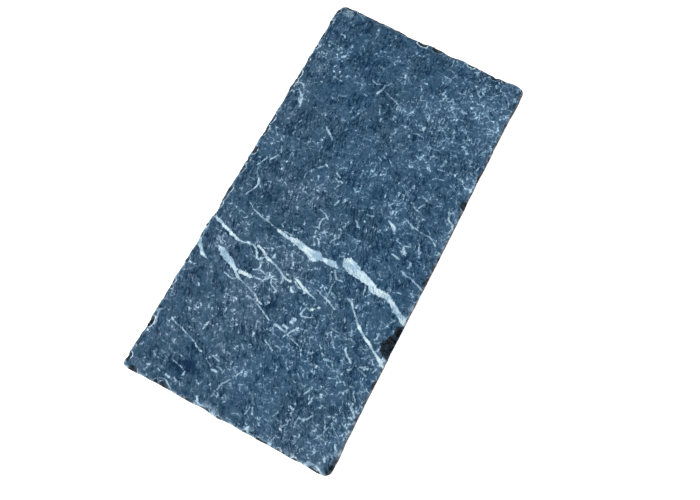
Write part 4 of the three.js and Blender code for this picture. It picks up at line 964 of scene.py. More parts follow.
# %% Distance from the nearest line
FAR = 20.0           # offset stored where no line is near, in mm
BLUNT = 3.0          # how fast a line narrows past its end
THIN, BY_WIDTH = 0.44, 0.33      # brightness of a hairline, and how much each mm of half width adds
FAR_END = 0.2        # share of the brightness that calcite loses towards the far end of the slab
FAR_FROM, FAR_TO = 10, 110      # where along the slab that loss starts and is complete, in mm
FADE_FROM, FADE_TO = 2.2, 3.2      # mm past its edge over which a line's brightness fades out
KEEP = 7.0           # distance past the edge out to which the offset is stored, in mm


def line_field(x, y, group):
    """Signed offset from the nearest line of a set, its half width and its brightness at each point."""
    best = np.full(len(x), KEEP)
    field = np.column_stack([np.full(len(x), FAR), np.zeros(len(x)), np.zeros(len(x))])
    for line, bright in group:
        reach = KEEP + line[:, 2].max()
        near = np.flatnonzero((x > line[:, 0].min() - reach) & (x < line[:, 0].max() + reach)
                              & (y > line[:, 1].min() - reach) & (y < line[:, 1].max() + reach))
        for n, (a, b) in enumerate(zip(line[:-1], line[1:])):
            run = b[:2] - a[:2]
            length = np.linalg.norm(run)
            offset = np.column_stack([x[near], y[near]]) - a[:2]
            t = offset @ run / length ** 2
            past = np.maximum(-t if n == 0 else 0 * t, t - 1 if n == len(line) - 2 else 0 * t).clip(0)
            inner = t.clip(0, 1)
            side = (run[0] * offset[:, 1] - run[1] * offset[:, 0]) / length
            away = np.linalg.norm(offset - inner[:, None] * run, axis=1)
            signed = np.where(past > 0, side, np.sign(side) * away)
            half = a[2] + (b[2] - a[2]) * inner - BLUNT * past * length
            excess = np.abs(signed) - half
            better = excess < best[near]
            hit = near[better]
            best[hit] = excess[better]
            fade = 1 - smooth_step(excess[better], FADE_FROM, FADE_TO)
            calmer = 1 - FAR_END * smooth_step(y[hit], FAR_FROM, FAR_TO)
            strength = bright * np.clip(THIN + BY_WIDTH * half[better], 0, 1) * calmer
            field[hit] = np.column_stack([signed[better], half[better], strength * fade])
    return field


print("a hairline's brightness:", THIN, " one mm of half width adds:", BY_WIDTH)

# %% The fields of every set
SLOPE = 0.45         # how far along the slab a vein moves for each mm it goes down
down = THICKNESS - points[:, 2]
field_x, field_y = points[:, 0], points[:, 1] + SLOPE * down * (1 - on_top)
fields = [line_field(field_x, field_y, group) for group in calcite_sets]
crevice = line_field(field_x, field_y, [(line_of(row), 1.0) for row in CREVICES])
print("points near calcite:", int((np.max([f[:, 2] for f in fields], axis=0) > 0).sum()))

# %% [markdown]
# ## Soft maps for the finish
#
# The finish changes from place to place, so nine more numbers are stored at each point of the skin.
# Three of them came with the chips: how far the nearest broken border is, how dark that break is, with
# painted shade in it, and how pale its rim, partly a painted highlight. The other six are made here. The
# first three are sums of soft round patches: "rich" is how much lace-like calcite the stone holds, the
# next how much darker it is, as painted shade in pits, hollows and chips and as darker clouds, and
# "knot" how much whiter or duller its drawn calcite is. A patch fades out like a bell curve, so its
# border never shows. Painting them as an image would tie them to one size; as numbers they move with the
# stone.

# %% Richer and poorer stone
PATCHES = [      # x, y, radius in mm, and how much richer or poorer in calcite
    (120, -200, 70, 0.22), (90, -265, 60, 0.1), (20, -150, 55, 0.2), (-40, -210, 60, 0.15),
    (-115, 210, 55, 0.35), (60, 180, 70, 0.3), (110, 60, 60, 0.2), (100, 270, 50, 0.2),
    (-20, 20, 50, 0.25), (-60, 100, 60, -0.15), (-30, 250, 70, -0.2), (20, -230, 30, -0.15),
    (-100, -180, 50, -0.05), (-100, -260, 45, -0.1), (-70, -30, 40, -0.2),
]


def soft_patches(patches):
    """A sum of soft round patches, each x, y, radius and amount, at every point."""
    total = np.zeros(len(points))
    for x, y, radius, amount in patches:
        x, y = on_slab(x, y)
        total += amount * np.exp(-((points[:, 0] - x) ** 2 + (points[:, 1] - y) ** 2) / radius ** 2)
    return total


rich = soft_patches(PATCHES)
print("calcite richness:", rich.min().round(2), "to", rich.max().round(2))

# %% Painted shade in hollows, and darker and paler stone
# Small rows are painted shade in pits, hollows and the insides of chips, wide rows are faint clouds in the
# stone, and the strip is a paler bed along the right edge.
HOLLOW_SHADE_AND_CLOUDS = [      # x, y, radius in mm, and how much darker
    (-84, -271, 10, 1.4), (-76, -262, 8, 1.2), (-139, 173, 13, 0.5), (54, 27, 8, 0.8), (30, 241, 7, 0.9),
    (-20, -144, 6, 1.5), (-27, -149, 4, 0.9), (-60, -262, 12, 0.3), (149, -291, 7, 1.6),
    (141, -175, 6, 1.2), (144, -22, 6, 1.2), (145, 104, 6, 1.3), (146, 2, 5, 1.0), (147, 156, 5, 1.0),
    (105, 295, 7, 0.8), (-149, 288, 4, 1.5), (-129, 299, 6, 1.0), (-140, 299, 5, 0.8), (6, 296, 7, 0.6),
    (-15, 295, 6, 0.8), (146, 295, 6, 1.2), (147, 242, 5, 0.8), (85, 230, 70, -0.3), (-75, 215, 65, 0.2),
    (40, 25, 45, 0.2), (-100, -25, 45, 0.2), (-15, -95, 50, -0.2), (-60, -270, 50, 0.3),
]
PALE_STRIP = dict(side_gap=6, half_width=8, paler=0.35)      # from the right edge, in mm
off_strip = (half_width - points[:, 0] - PALE_STRIP["side_gap"]) / PALE_STRIP["half_width"]
PALEST, DARKEST = -0.6, 1.5      # limits where patches lie over each other
hollow_shade_and_clouds = (soft_patches(HOLLOW_SHADE_AND_CLOUDS) - PALE_STRIP["paler"] * np.exp(-off_strip ** 2)).clip(PALEST, DARKEST)
print("darker by:", hollow_shade_and_clouds.min().round(2), "to", hollow_shade_and_clouds.max().round(2))

# %% Whiter and duller calcite
# A vein is purest where its crystals grew largest, in knots, and greyer where slivers of the wall fell in.
KNOTS = [      # x, y, radius in mm, and how much whiter (or, below 0, duller) the calcite is
    (-60, -50.5, 3, 1.0), (-35, -50, 5, 0.6), (-33, -58, 2.5, 0.6), (-17, -57.5, 4.5, 1.0),
    (12, -58, 4, 0.8), (-2, -65, 5, 0.8), (3, -56, 8, -1.0), (24, -56, 6, -0.8), (-25, -52, 4, -0.5),
    (43, -44, 5, 0.5), (70, -57, 8, 0.6), (84, -54, 3, 1.0), (92, -64, 5, 0.5), (100, -62, 5, 0.7),
    (108, -59, 3, 0.6), (118, -68, 4, 0.4), (143, -83, 4, 0.7), (54, -46, 6, -0.7), (111, -62, 4, -0.6),
    (128, -73, 7, -0.6), (-117.5, -84, 3, 1.0), (-91, -84, 2, 0.8), (-142, -75, 4, -0.4),
    (-76, -82, 2.5, 0.8), (-54, -92, 2.5, 1.0), (-16, -104.5, 4, 0.7), (-5, -99, 4, 0.9),
    (8, -105, 4, 1.0), (-122, -107, 2, 0.6), (-112, -112, 9, -0.7), (-98, -118, 7, -0.5),
    (-74, -124, 9, 0.9), (-150, -112, 6, -0.8), (-143, -121, 5, -0.5), (-138, -126, 2.5, 0.8),
    (-43, -145, 2.5, 0.8), (-35, -148.5, 2.5, 0.6), (-18, -161, 2.5, 0.8), (-25, -141.5, 2, 0.8),
    (95, -115.5, 3.5, 0.9), (115, -127.5, 4, 0.7), (138, -140.5, 4, 1.0), (145, -147, 4, 1.0),
    (73.5, -93.5, 2.5, 0.6), (29.5, -124, 3, 0.8), (36, -117.5, 3, 0.8),
]
knot = soft_patches(KNOTS).clip(-1, 1)
print("knots:", len(KNOTS))

# %% [markdown]
# ## Worn edges, with painted highlight and painted shade
#
# The other three soft maps follow the slab's edges. "side" is 1 on the sawn sides. The second is the
# pale rim along the top edge: partly wear from the drum, and partly a painted highlight on the edges
# that face the lamp. The third is painted shade on the edges that face away from the lamp; each side
# has its own amount of both. RUBBED adds spots where the rim is wider, and SPARED takes the dark broken
# finish away where a break has been rubbed pale again.

# %% Sides, rims and painted edge shade
SIDE_FROM, SIDE_FULL = 2.4, 5.0      # mm below the top where the sawn finish starts, and is complete
STEEP_FROM, STEEP_FULL = 0.1, 0.5    # how far a face must turn away from the top for it
side = smooth_step(THICKNESS - points[:, 2], SIDE_FROM, SIDE_FULL)
side = side * smooth_step(1 - on_top, STEEP_FROM, STEEP_FULL)
EDGE_WORN_AND_LIT = dict(left=1.0, right=0.0, far=0.6, near=1.0)      # how pale the top edge of each side is, from wear and, on the sides facing the lamp, a painted highlight
EDGE_PAINTED_SHADE = dict(left=0.0, right=1.0, far=0.35, near=0.0)      # how much painted shade each edge gets, most on the sides facing away from the lamp
gaps = dict(left=half_width + points[:, 0], right=half_width - points[:, 0],
            far=half_length - points[:, 1], near=half_length + points[:, 1])
UPPER = (18, 26)      # height in mm where the rims start, and where they are complete
upper_part = smooth_step(points[:, 2], *UPPER)


def rim(amounts, full, fading):
    """A finish along the top edges, full for some mm inward and then fading out over some more."""
    each = [amounts[name] * np.exp(-((gap - full).clip(0) / fading) ** 2) for name, gap in gaps.items()]
    return upper_part * np.max(each, 0)


RUBBED = [      # x, y, radius in mm, and how much more of the pale rim
    (-135, 293, 5.5, 0.8), (-34, -298, 4.5, 0.7), (-26, -298, 4.5, 0.7), (-17, -299, 4.5, 0.6),
    (31, -297, 5, 0.7), (65, -298, 4.5, 0.6), (86, -299, 4, 0.6), (97, -299, 4, 0.6),
    (118, -298, 4.5, 0.6), (132, -297, 5, 0.6), (148, -62, 4, 0.9), (144, -134, 5, 1.6),
]
SPARED = [(144, -134, 4.5, 1.8), (149, -112, 5, 0.45), (-135, 292, 5, 0.8)]
PALEST_RIM = 1.2
# The pale rim is partly wear and partly a painted highlight; the dark rim is painted shade.
worn_and_lit_rim = (rim(EDGE_WORN_AND_LIT, full=1.5, fading=2.0) + soft_patches(RUBBED)).clip(0, PALEST_RIM)
painted_edge_shade = rim(EDGE_PAINTED_SHADE, full=1.8, fading=2.2)
spared = 1 - soft_patches(SPARED).clip(0, 1) * upper_part
chip_dark_and_shade, side = chip_dark_and_shade * spared, side * spared
print("worn up to", worn_and_lit_rim.max().round(2), " grimy up to", painted_edge_shade.max().round(2))

# %% [markdown]
# ## The mesh
#
# Four points make each face of the grid and of the rings, and one large flat face closes the sawn bed.
# Shading is smooth, because the points are close enough to follow the stone, apart from edges sharper
# than 42 degrees, where a chip has a crisp border.

# %% Mesh of the slab
CRISP = math.radians(42)
i, j = np.meshgrid(np.arange(columns), np.arange(rows))
corner = (j * (columns + 1) + i).ravel()
faces = [np.column_stack([corner, corner + 1, corner + columns + 2, corner + columns + 1])]
upper = border
for ring in range(len(rings)):
    lower = len(top) + ring * len(border) + np.arange(len(border))
    faces.append(np.column_stack([upper, lower, np.roll(lower, -1), np.roll(upper, -1)]))
    upper = lower
faces = np.concatenate(faces).tolist() + [upper[::-1].tolist()]

mesh = bpy.data.meshes.new("bluestone_paver")
mesh.from_pydata((points * MM).tolist(), [], faces)
mesh.polygons.foreach_set("use_smooth", [True] * len(mesh.polygons))
mesh.set_sharp_from_angle(angle=CRISP)
soft_maps = dict(side=side, worn_and_lit_rim=worn_and_lit_rim, painted_edge_shade=painted_edge_shade, chip_gap=chip_gap, chip_dark_and_shade=chip_dark_and_shade,
                 chip_pale_and_lit=chip_pale_and_lit, rich=rich, hollow_shade_and_clouds=hollow_shade_and_clouds, knot=knot)
for name, values in soft_maps.items():
    mesh.attributes.new(name, "FLOAT", "POINT").data.foreach_set("value", values.astype(np.float32))
for n, values in enumerate([crevice, *fields]):
    name = f"calcite {n}" if n else "crevice"
    data = mesh.attributes.new(name, "FLOAT_VECTOR", "POINT").data
    data.foreach_set("vector", values.astype(np.float32).ravel())
mesh.update()
paver = bpy.data.objects.new("bluestone_paver", mesh)
bpy.context.scene.collection.objects.link(paver)
print("triangles:", sum(len(face) - 2 for face in faces))

# %% [markdown]
# ## One helper for nodes, one for colours
#
# A material is a net of nodes. The helper below adds a node of any kind. Its list of wants names the
# node's own settings, its inputs with fixed values, and its inputs that come from another node. Colours
# are written the way a paint chart gives them, as sRGB hex, and one function turns them to the linear
# numbers that light adds up in. SMOOTH is a want that many nodes share, so it has a name.

# %% Node helper and colour helper
def linear(hex_colour):
    """An sRGB hex colour as linear red, green, blue and alpha."""
    channels = [int(hex_colour[k:k + 2], 16) / 255 for k in (1, 3, 5)]
    return [c / 12.92 if c <= 0.04045 else ((c + 0.055) / 1.055) ** 2.4 for c in channels] + [1.0]


def add(tree, kind, wants):
    """Adds a node. A want is a setting, an input's value, or the node or socket that feeds an input."""
    node = tree.nodes.new("ShaderNode" + kind)
    for name, value in wants.items():
        if isinstance(name, str) and hasattr(node, name):
            setattr(node, name, value)
            continue
        if isinstance(value, bpy.types.Node):
            value = value.outputs[0]
        if isinstance(value, bpy.types.NodeSocket):
            tree.links.new(value, node.inputs[name])
        else:
            node.inputs[name].default_value = value
    return node


SMOOTH = {"interpolation_type": "SMOOTHSTEP"}      # turns a map range into a soft step
stone = bpy.data.materials.new("riven and tumbled bluestone")
stone.use_nodes = True
tree = stone.node_tree
tree.nodes.clear()
print("material:", stone.name)

# %% [markdown]
# ## The blue limestone
#
# Bluestone is a dense dark limestone. Split faces are matt, with a slate blue that is a little greyer or
# a little bluer from one hand's breadth to the next, and darker cells about a centimetre across. Fossil
# hash and hairline calcite draw a pale broken lace round those cells. Every pattern here is noise in
# the object's own coordinates, turned to millimetres first, so that its size can be stated as a length.
# Swirls bend the coordinates a little, which turns even noise into curls. All the patterns are added up
# into one number, the tone, and one ramp turns tone into colour.

# %% Coordinates in mm: straight, bent by swirls, and stretched along the grooves
BEND_SIZE, BEND = 9.0, 7.0      # size of the swirls, and how far they move a line, in mm
place = add(tree, "TexCoord", {})
mm = add(tree, "VectorMath", {"operation": "SCALE", 0: place.outputs["Object"], "Scale": 1 / MM})
swirl = add(tree, "TexNoise", {"Vector": mm, "Scale": 1 / BEND_SIZE, "Detail": 2.0})
centred = add(tree, "VectorMath", {
    "operation": "SUBTRACT", 0: swirl.outputs["Color"], 1: (0.5, 0.5, 0.5)})
bent = add(tree, "VectorMath", {"operation": "MULTIPLY_ADD", 0: centred, 1: (BEND, BEND, BEND), 2: mm})
GROOVE_LEAN = 0.27      # how far a groove moves across for each mm along, at the middle of the slab
GROOVE_TURN = -0.0005   # how much that lean changes with each mm along
GROOVE_LONG, VEIN_LONG = 0.24, 0.22      # squeezing a coordinate by this draws the pattern out
x_y_z = add(tree, "SeparateXYZ", {"Vector": bent}).outputs
lean = add(tree, "Math", {"operation": "MULTIPLY_ADD", 0: x_y_z[1], 1: GROOVE_TURN, 2: GROOVE_LEAN})
across = add(tree, "Math", {"operation": "MULTIPLY_ADD", 0: x_y_z[1], 1: lean, 2: x_y_z[0]})
along = add(tree, "Math", {"operation": "MULTIPLY", 0: x_y_z[1], 1: GROOVE_LONG})
grooved = add(tree, "CombineXYZ", {"X": across, "Y": along, "Z": x_y_z[2]})
VEIN_RUN = math.radians(-27)      # the way most veins run, from the slab's width
vein_turned = add(tree, "VectorRotate", {"rotation_type": "Z_AXIS", "Vector": bent, "Angle": -VEIN_RUN})
along_vein = add(tree, "VectorMath", {"operation": "MULTIPLY", 0: vein_turned, 1: (VEIN_LONG, 1.0, 1.0)})
print("grooves lean by", GROOVE_LEAN, "at the middle of the slab")

# %% Noises of the stone
NOISES = dict(       # size in mm, finer layers, roughness of those layers, and the coordinates used
    hue=(70, 2, 0.5, mm), cloud=(36, 3, 0.5, mm), cell=(10.5, 2, 0.5, bent), mottle=(5.2, 2, 0.5, bent),
    speck=(2.6, 2, 0.6, bent), speck_rich=(12, 2, 0.6, mm), broken_lace=(8, 1, 0.5, mm),
    smudge=(4.6, 1, 0.5, bent), pulse=(8.5, 1, 0.5, mm), curl=(8, 2, 0.5, bent),
    broken_curl=(9, 1, 0.5, mm), fine_curl=(5, 2, 0.5, bent), fine_pulse=(6, 1, 0.5, mm),
    fibre=(3.2, 3, 0.6, along_vein), ledge=(15, 2.5, 0.55, grooved), groove=(5.4, 1, 0.5, grooved),
    groove_rich=(19, 1, 0.5, mm), grain=(1.7, 1, 0.5, mm), vein_edge=(1.9, 3, 0.7, mm),
    vein_body=(3.6, 3, 0.65, mm), chipped=(6, 3, 0.6, mm),
)
APART = (71.0, 37.0)      # mm across and along from one noise's coordinates to the next one's
noise = {}
for n, (name, (size, layers, roughness, source)) in enumerate(NOISES.items()):
    moved = add(tree, "VectorMath", {
        "operation": "ADD", 0: source, 1: (n * APART[0], n * APART[1], 0.0)})
    noise[name] = add(tree, "TexNoise", {
        "Vector": moved, "Scale": 1 / size, "Detail": layers, "Roughness": roughness})
LACE_CELLS = dict(wide=11.0, narrow=6.0)      # mm from one line of each lace to the next
cells = {name: add(tree, "TexVoronoi", {
    "feature": "DISTANCE_TO_EDGE", "Vector": bent, "Scale": 1 / size}) for name, size in LACE_CELLS.items()}
print("noises:", len(noise))

# %% Numbers stored at the points of the skin
stored = {name: add(tree, "Attribute", {"attribute_name": name}).outputs["Fac"]
          for name in soft_maps}
sets = [add(tree, "Attribute", {"attribute_name": f"calcite {n + 1}"}) for n in range(len(fields))]
sets.append(add(tree, "Attribute", {"attribute_name": "crevice"}))
print("stored numbers:", len(stored) + len(sets))

# %% [markdown]
# ## From noise to marks
#
# Noise turns into a mark with a smooth step: nothing below one value, all of it above another. A line
# comes from the places where a noise is close to its middle value, or where a point is close to the
# border between two cells. Multiplying a line by another mark breaks it up. The tables below give each
# mark its source and its two values, so a pattern is tuned by changing one row.

# %% Distances that thin lines come from
away = {}
for name in ("curl", "fine_curl", "groove"):
    shifted = add(tree, "Math", {"operation": "SUBTRACT", 0: noise[name], 1: 0.5})
    away[name] = add(tree, "Math", {"operation": "ABSOLUTE", 0: shifted})
print("thin lines from:", ", ".join(away))

# %% Noises that rich stone raises
RICHER = dict(broken_lace=0.1, broken_curl=0.1, speck_rich=0.14, fine_pulse=0.1)      # by how much
richer = {name: add(tree, "Math", {
    "operation": "MULTIPLY_ADD", 0: stored["rich"], 1: weight, 2: noise[name]})
    for name, weight in RICHER.items()}
print("noises that follow richness:", len(richer))

# %% Thin layers that end in low steps
LEDGES = 7.0         # thin layers between the lowest and the highest of the noise
layers = add(tree, "Math", {"operation": "MULTIPLY", 0: noise["ledge"], 1: LEDGES})
whole = add(tree, "Math", {"operation": "FLOOR", 0: layers})
part = add(tree, "Math", {"operation": "FRACT", 0: layers})
rise = add(tree, "MapRange", {**SMOOTH, "Value": part, "From Min": 0.42, "From Max": 0.58})
ledges = add(tree, "Math", {"operation": "ADD", 0: whole, 1: rise})
from_middle = add(tree, "Math", {"operation": "SUBTRACT", 0: part, 1: 0.5})
away["ledge"] = add(tree, "Math", {"operation": "ABSOLUTE", 0: from_middle})
print("layers:", LEDGES)

# %% Marks: source, where the step starts and ends, and its value at each end
MARKS = dict(
    lace_line=(cells["wide"], 0.015, 0.085, 1, 0), lace_here=(richer["broken_lace"], 0.46, 0.56, 0, 1),
    net_line=(cells["narrow"], 0.02, 0.14, 1, 0), net_here=(richer["broken_curl"], 0.46, 0.56, 0, 1),
    curl_line=(away["curl"], 0.018, 0.06, 1, 0), curl_here=(noise["pulse"], 0.5, 0.6, 0, 1),
    fine_curl_line=(away["fine_curl"], 0.02, 0.08, 1, 0),
    fine_curl_here=(richer["fine_pulse"], 0.48, 0.6, 0, 1),
    ledge_line=(away["ledge"], 0.08, 0.24, 1, 0), ledge_here=(noise["smudge"], 0.46, 0.6, 0, 1),
    smudge_line=(noise["smudge"], 0.52, 0.7, 0, 1), smudge_here=(richer["speck_rich"], 0.4, 0.6, 0, 1),
    specks_line=(noise["speck"], 0.55, 0.66, 0, 1), specks_here=(richer["speck_rich"], 0.42, 0.58, 0, 1),
    groove_line=(away["groove"], 0.012, 0.06, 1, 0), groove_here=(noise["groove_rich"], 0.45, 0.55, 0, 1),
)
marks = {}
for name, (source, start, end, first, last) in MARKS.items():
    marks[name] = add(tree, "MapRange", {
        **SMOOTH, "Value": source, "From Min": start, "From Max": end, "To Min": first, "To Max": last})
for name in ("lace", "net", "curl", "fine_curl", "smudge", "groove", "ledge", "specks"):
    marks[name] = add(tree, "Math", {
        "operation": "MULTIPLY", 0: marks[name + "_line"], 1: marks[name + "_here"]})
print("marks:", len(marks))

# %% [markdown]
# ## Painting the drawn lines
#
# Half width less distance gives how deep inside a line a point is. Noise is added to that depth before
# the step, so the edge of a vein frays as crystals do, and wide veins swell and shrink. Each line also
# comes and goes: its brightness and two noises are added up, and it shows only where the sum is high. So
# a bright vein is whole and a dull wisp is broken into bits. The core of a line, away from its edge, is
# kept too, because calcite is duller there.

# %% Drawn lines, with rough edges
EDGE_ROUGH = 2.2     # how far the noise moves the edge of a line in and out, in mm
SOFT_EDGE = 0.58     # half the width of the blend at that edge, in mm
LOBED = 1.1          # how far a wide line swells and shrinks, as a share of its half width
BY_BRIGHTNESS, BY_PULSE = 1.1, 1.5      # weights of the line's brightness and of the slower noise
SHOWN = (1.45, 2.25)      # sums where a line starts to show, and where it is whole
CORE = (-0.4, 0.5)        # depths in mm where the core starts, and where it is whole
ragged = add(tree, "Math", {"operation": "SUBTRACT", 0: noise["vein_edge"], 1: 0.5})
lobed = add(tree, "Math", {"operation": "SUBTRACT", 0: noise["mottle"], 1: 0.5})
swell = add(tree, "Math", {"operation": "MULTIPLY", 0: lobed, 1: LOBED})
drawn, cores, brights = [], [], []
for line_set in sets:
    parts = add(tree, "SeparateXYZ", {"Vector": line_set.outputs["Vector"]})
    offset, half, bright = parts.outputs
    distance = add(tree, "Math", {"operation": "ABSOLUTE", 0: offset})
    even = add(tree, "Math", {"operation": "SUBTRACT", 0: half, 1: distance})
    depth_in = add(tree, "Math", {"operation": "MULTIPLY_ADD", 0: swell, 1: half, 2: even})
    rough_in = add(tree, "Math", {"operation": "MULTIPLY_ADD", 0: ragged, 1: 2 * EDGE_ROUGH, 2: depth_in})
    shape = add(tree, "MapRange", {
        **SMOOTH, "Value": rough_in, "From Min": -SOFT_EDGE, "From Max": SOFT_EDGE})
    patchy = add(tree, "Math", {
        "operation": "MULTIPLY_ADD", 0: bright, 1: BY_BRIGHTNESS, 2: noise["vein_body"]})
    pulsing = add(tree, "Math", {
        "operation": "MULTIPLY_ADD", 0: noise["fine_pulse"], 1: BY_PULSE, 2: patchy})
    shown = add(tree, "MapRange", {
        **SMOOTH, "Value": pulsing, "From Min": SHOWN[0], "From Max": SHOWN[1]})
    drawn.append(add(tree, "Math", {"operation": "MULTIPLY", 0: shape, 1: shown}))
    brights.append(bright)
    cores.append(add(tree, "MapRange", {
        **SMOOTH, "Value": rough_in, "From Min": CORE[0], "From Max": CORE[1]}))
crevice_line = drawn.pop()
calcite, core, brightest = drawn[0], cores[0], brights[0]
for part, middle, bright in zip(drawn[1:], cores[1:-1], brights[1:-1]):
    calcite = add(tree, "Math", {"operation": "MAXIMUM", 0: calcite, 1: part})
    core = add(tree, "Math", {"operation": "MAXIMUM", 0: core, 1: middle})
    brightest = add(tree, "Math", {"operation": "MAXIMUM", 0: brightest, 1: bright})
print("sets of drawn lines:", len(sets))

# %% [markdown]
# ## Tone and colour
#
# The tone starts low and each pattern moves it up or down by its own weight, so a pattern is made
# stronger by changing one number. The ramp's stops are the colours that a dry bluestone shows, from its
# darkest cells to its palest flecks.

# %% Tone of the stone
TONE_START = -0.362      # tone of stone with no pattern on it; the patterns lift it
# The negative weights of the grooves, the ledges and the crevices are painted shade in those creases; the
# stored map of darker stone is painted shade in pits and chip hollows, and darker clouds in its wide
# patches.
WEIGHTS = [
    (noise["cloud"], 0.56), (noise["cell"], 0.25), (noise["mottle"], 0.355), (noise["grain"], 0.165),
    (marks["lace"], 0.26), (marks["net"], 0.1), (marks["curl"], 0.27), (marks["fine_curl"], 0.16),
    (marks["specks"], 0.05), (marks["smudge"], 0.13), (marks["groove"], -0.31), (marks["ledge"], -0.2),
    (stored["hollow_shade_and_clouds"], -0.3), (crevice_line, -0.35), (stored["rich"], 0.1),
]
tone = add(tree, "Math", {"operation": "ADD", 0: TONE_START, 1: 0.0})
for source, weight in WEIGHTS:
    tone = add(tree, "Math", {"operation": "MULTIPLY_ADD", 0: source, 1: weight, 2: tone})
RAMP = [(0.0, "#06213a"), (0.14, "#163449"), (0.3, "#263f53"), (0.44, "#32485d"), (0.56, "#40566b"),
        (0.74, "#667d8f"), (0.9, "#8fa7b7"), (1.0, "#a7bbc3")]
slate = add(tree, "ValToRGB", {"Fac": tone})
stops = slate.color_ramp.elements
while len(stops) < len(RAMP):
    stops.new(0.5)
for stop, (position, colour) in zip(stops, RAMP):
    stop.position, stop.color = position, linear(colour)
print("patterns in the tone:", len(WEIGHTS))

# %% Plain grey and bluer slate
GREY_SLATE, BLUE_SLATE = "#fffbf9", "#eefbff"      # tints, so close to white
HUE_DRIFT = (0.001, 0.0005)      # how fast the stone turns bluer across and along the slab, per mm
drifting = noise["hue"]
for distance, drift in zip(x_y_z, HUE_DRIFT):
    drifting = add(tree, "Math", {"operation": "MULTIPLY_ADD", 0: distance, 1: drift, 2: drifting})
hue = add(tree, "MapRange", {**SMOOTH, "Value": drifting, "From Min": 0.32, "From Max": 0.68})
tint = add(tree, "MixRGB", {
    "Fac": hue, "Color1": linear(GREY_SLATE), "Color2": linear(BLUE_SLATE)})
tinted = add(tree, "MixRGB", {"blend_type": "MULTIPLY", "Fac": 1.0, "Color1": slate, "Color2": tint})
print("tints:", GREY_SLATE, BLUE_SLATE)

# %% [markdown]
# ## Calcite
#
# Calcite is a clear white crystal, but in a thin vein the dark stone shows through it, so it looks pale
# blue grey, and a hairline is duller than a wide vein. Its crystals grow from the walls inward and leave
# a fibrous core. So the colour is picked by how bright the line is, by noise drawn out along the veins,
# and by the knots placed above.

# %% Calcite over the slate
CALCITE_BRIGHT, CALCITE_DULL, CALCITE_THIN = "#a3b7c1", "#7691a4", "#7f99ac"
CALCITE_KNOT = "#a8babb"      # the whitest knots, with a trace of yellow clay in them
body = add(tree, "MapRange", {**SMOOTH, "Value": noise["fibre"], "From Min": 0.6, "From Max": 0.38})
duller = add(tree, "Math", {"operation": "SUBTRACT", 0: body, 1: stored["knot"], "use_clamp": True})
dull_part = add(tree, "Math", {"operation": "MULTIPLY", 0: duller, 1: core})
wide = add(tree, "MapRange", {"Value": brightest, "From Min": 0.55, "From Max": 0.95})
clay = add(tree, "MapRange", {**SMOOTH, "Value": stored["knot"], "From Min": 0.3, "From Max": 0.9})
white = add(tree, "MixRGB", {
    "Fac": clay, "Color1": linear(CALCITE_BRIGHT), "Color2": linear(CALCITE_KNOT)})
by_width = add(tree, "MixRGB", {"Fac": wide, "Color1": linear(CALCITE_THIN), "Color2": white})
vein_colour = add(tree, "MixRGB", {"Fac": dull_part, "Color1": by_width, "Color2": linear(CALCITE_DULL)})
veined = add(tree, "MixRGB", {"Fac": calcite, "Color1": tinted, "Color2": vein_colour})
print("calcite:", CALCITE_DULL, CALCITE_THIN, CALCITE_BRIGHT)

# %% [markdown]
# ## Sides, rims and broken faces
#
# The drum rubs the top edge to a pale rim, which a painted highlight brightens on the edges facing the
# lamp, and painted shade darkens the edges facing away from it. A broken face shows the stone's inside,
# nearly black with a little blue and darkened further with painted shade, and its border is bruised pale
# and partly painted as a highlight. The sides were sawn and then tumbled, so they are a dark neutral grey.
# Each of these is laid over the slate by one of the numbers stored at the points.

# %% Finishes laid over the slate
CHIP_ROUGH = 1.6     # how far noise moves the border of a chip in and out, in mm
uneven_border = add(tree, "Math", {
    "operation": "MULTIPLY_ADD", 0: noise["vein_edge"], 1: 2 * CHIP_ROUGH, 2: stored["chip_gap"]})
border_gap = add(tree, "Math", {"operation": "SUBTRACT", 0: uneven_border, 1: CHIP_ROUGH})
in_chip = add(tree, "MapRange", {**SMOOTH, "Value": border_gap, "From Min": 0.6, "From Max": -0.7})
past_border = add(tree, "Math", {"operation": "SUBTRACT", 0: border_gap, 1: 0.7})
off_ring = add(tree, "Math", {"operation": "ABSOLUTE", 0: past_border})
on_ring = add(tree, "MapRange", {**SMOOTH, "Value": off_ring, "From Min": 0.8, "From Max": 0.1})
shares = dict(stored)
# The dark inside of a break is partly painted shade, and its pale rim is partly a painted highlight.
shares["broken"] = add(tree, "Math", {"operation": "MULTIPLY", 0: in_chip, 1: stored["chip_dark_and_shade"]})
shares["bruised_and_lit"] = add(tree, "Math", {"operation": "MULTIPLY", 0: on_ring, 1: stored["chip_pale_and_lit"]})
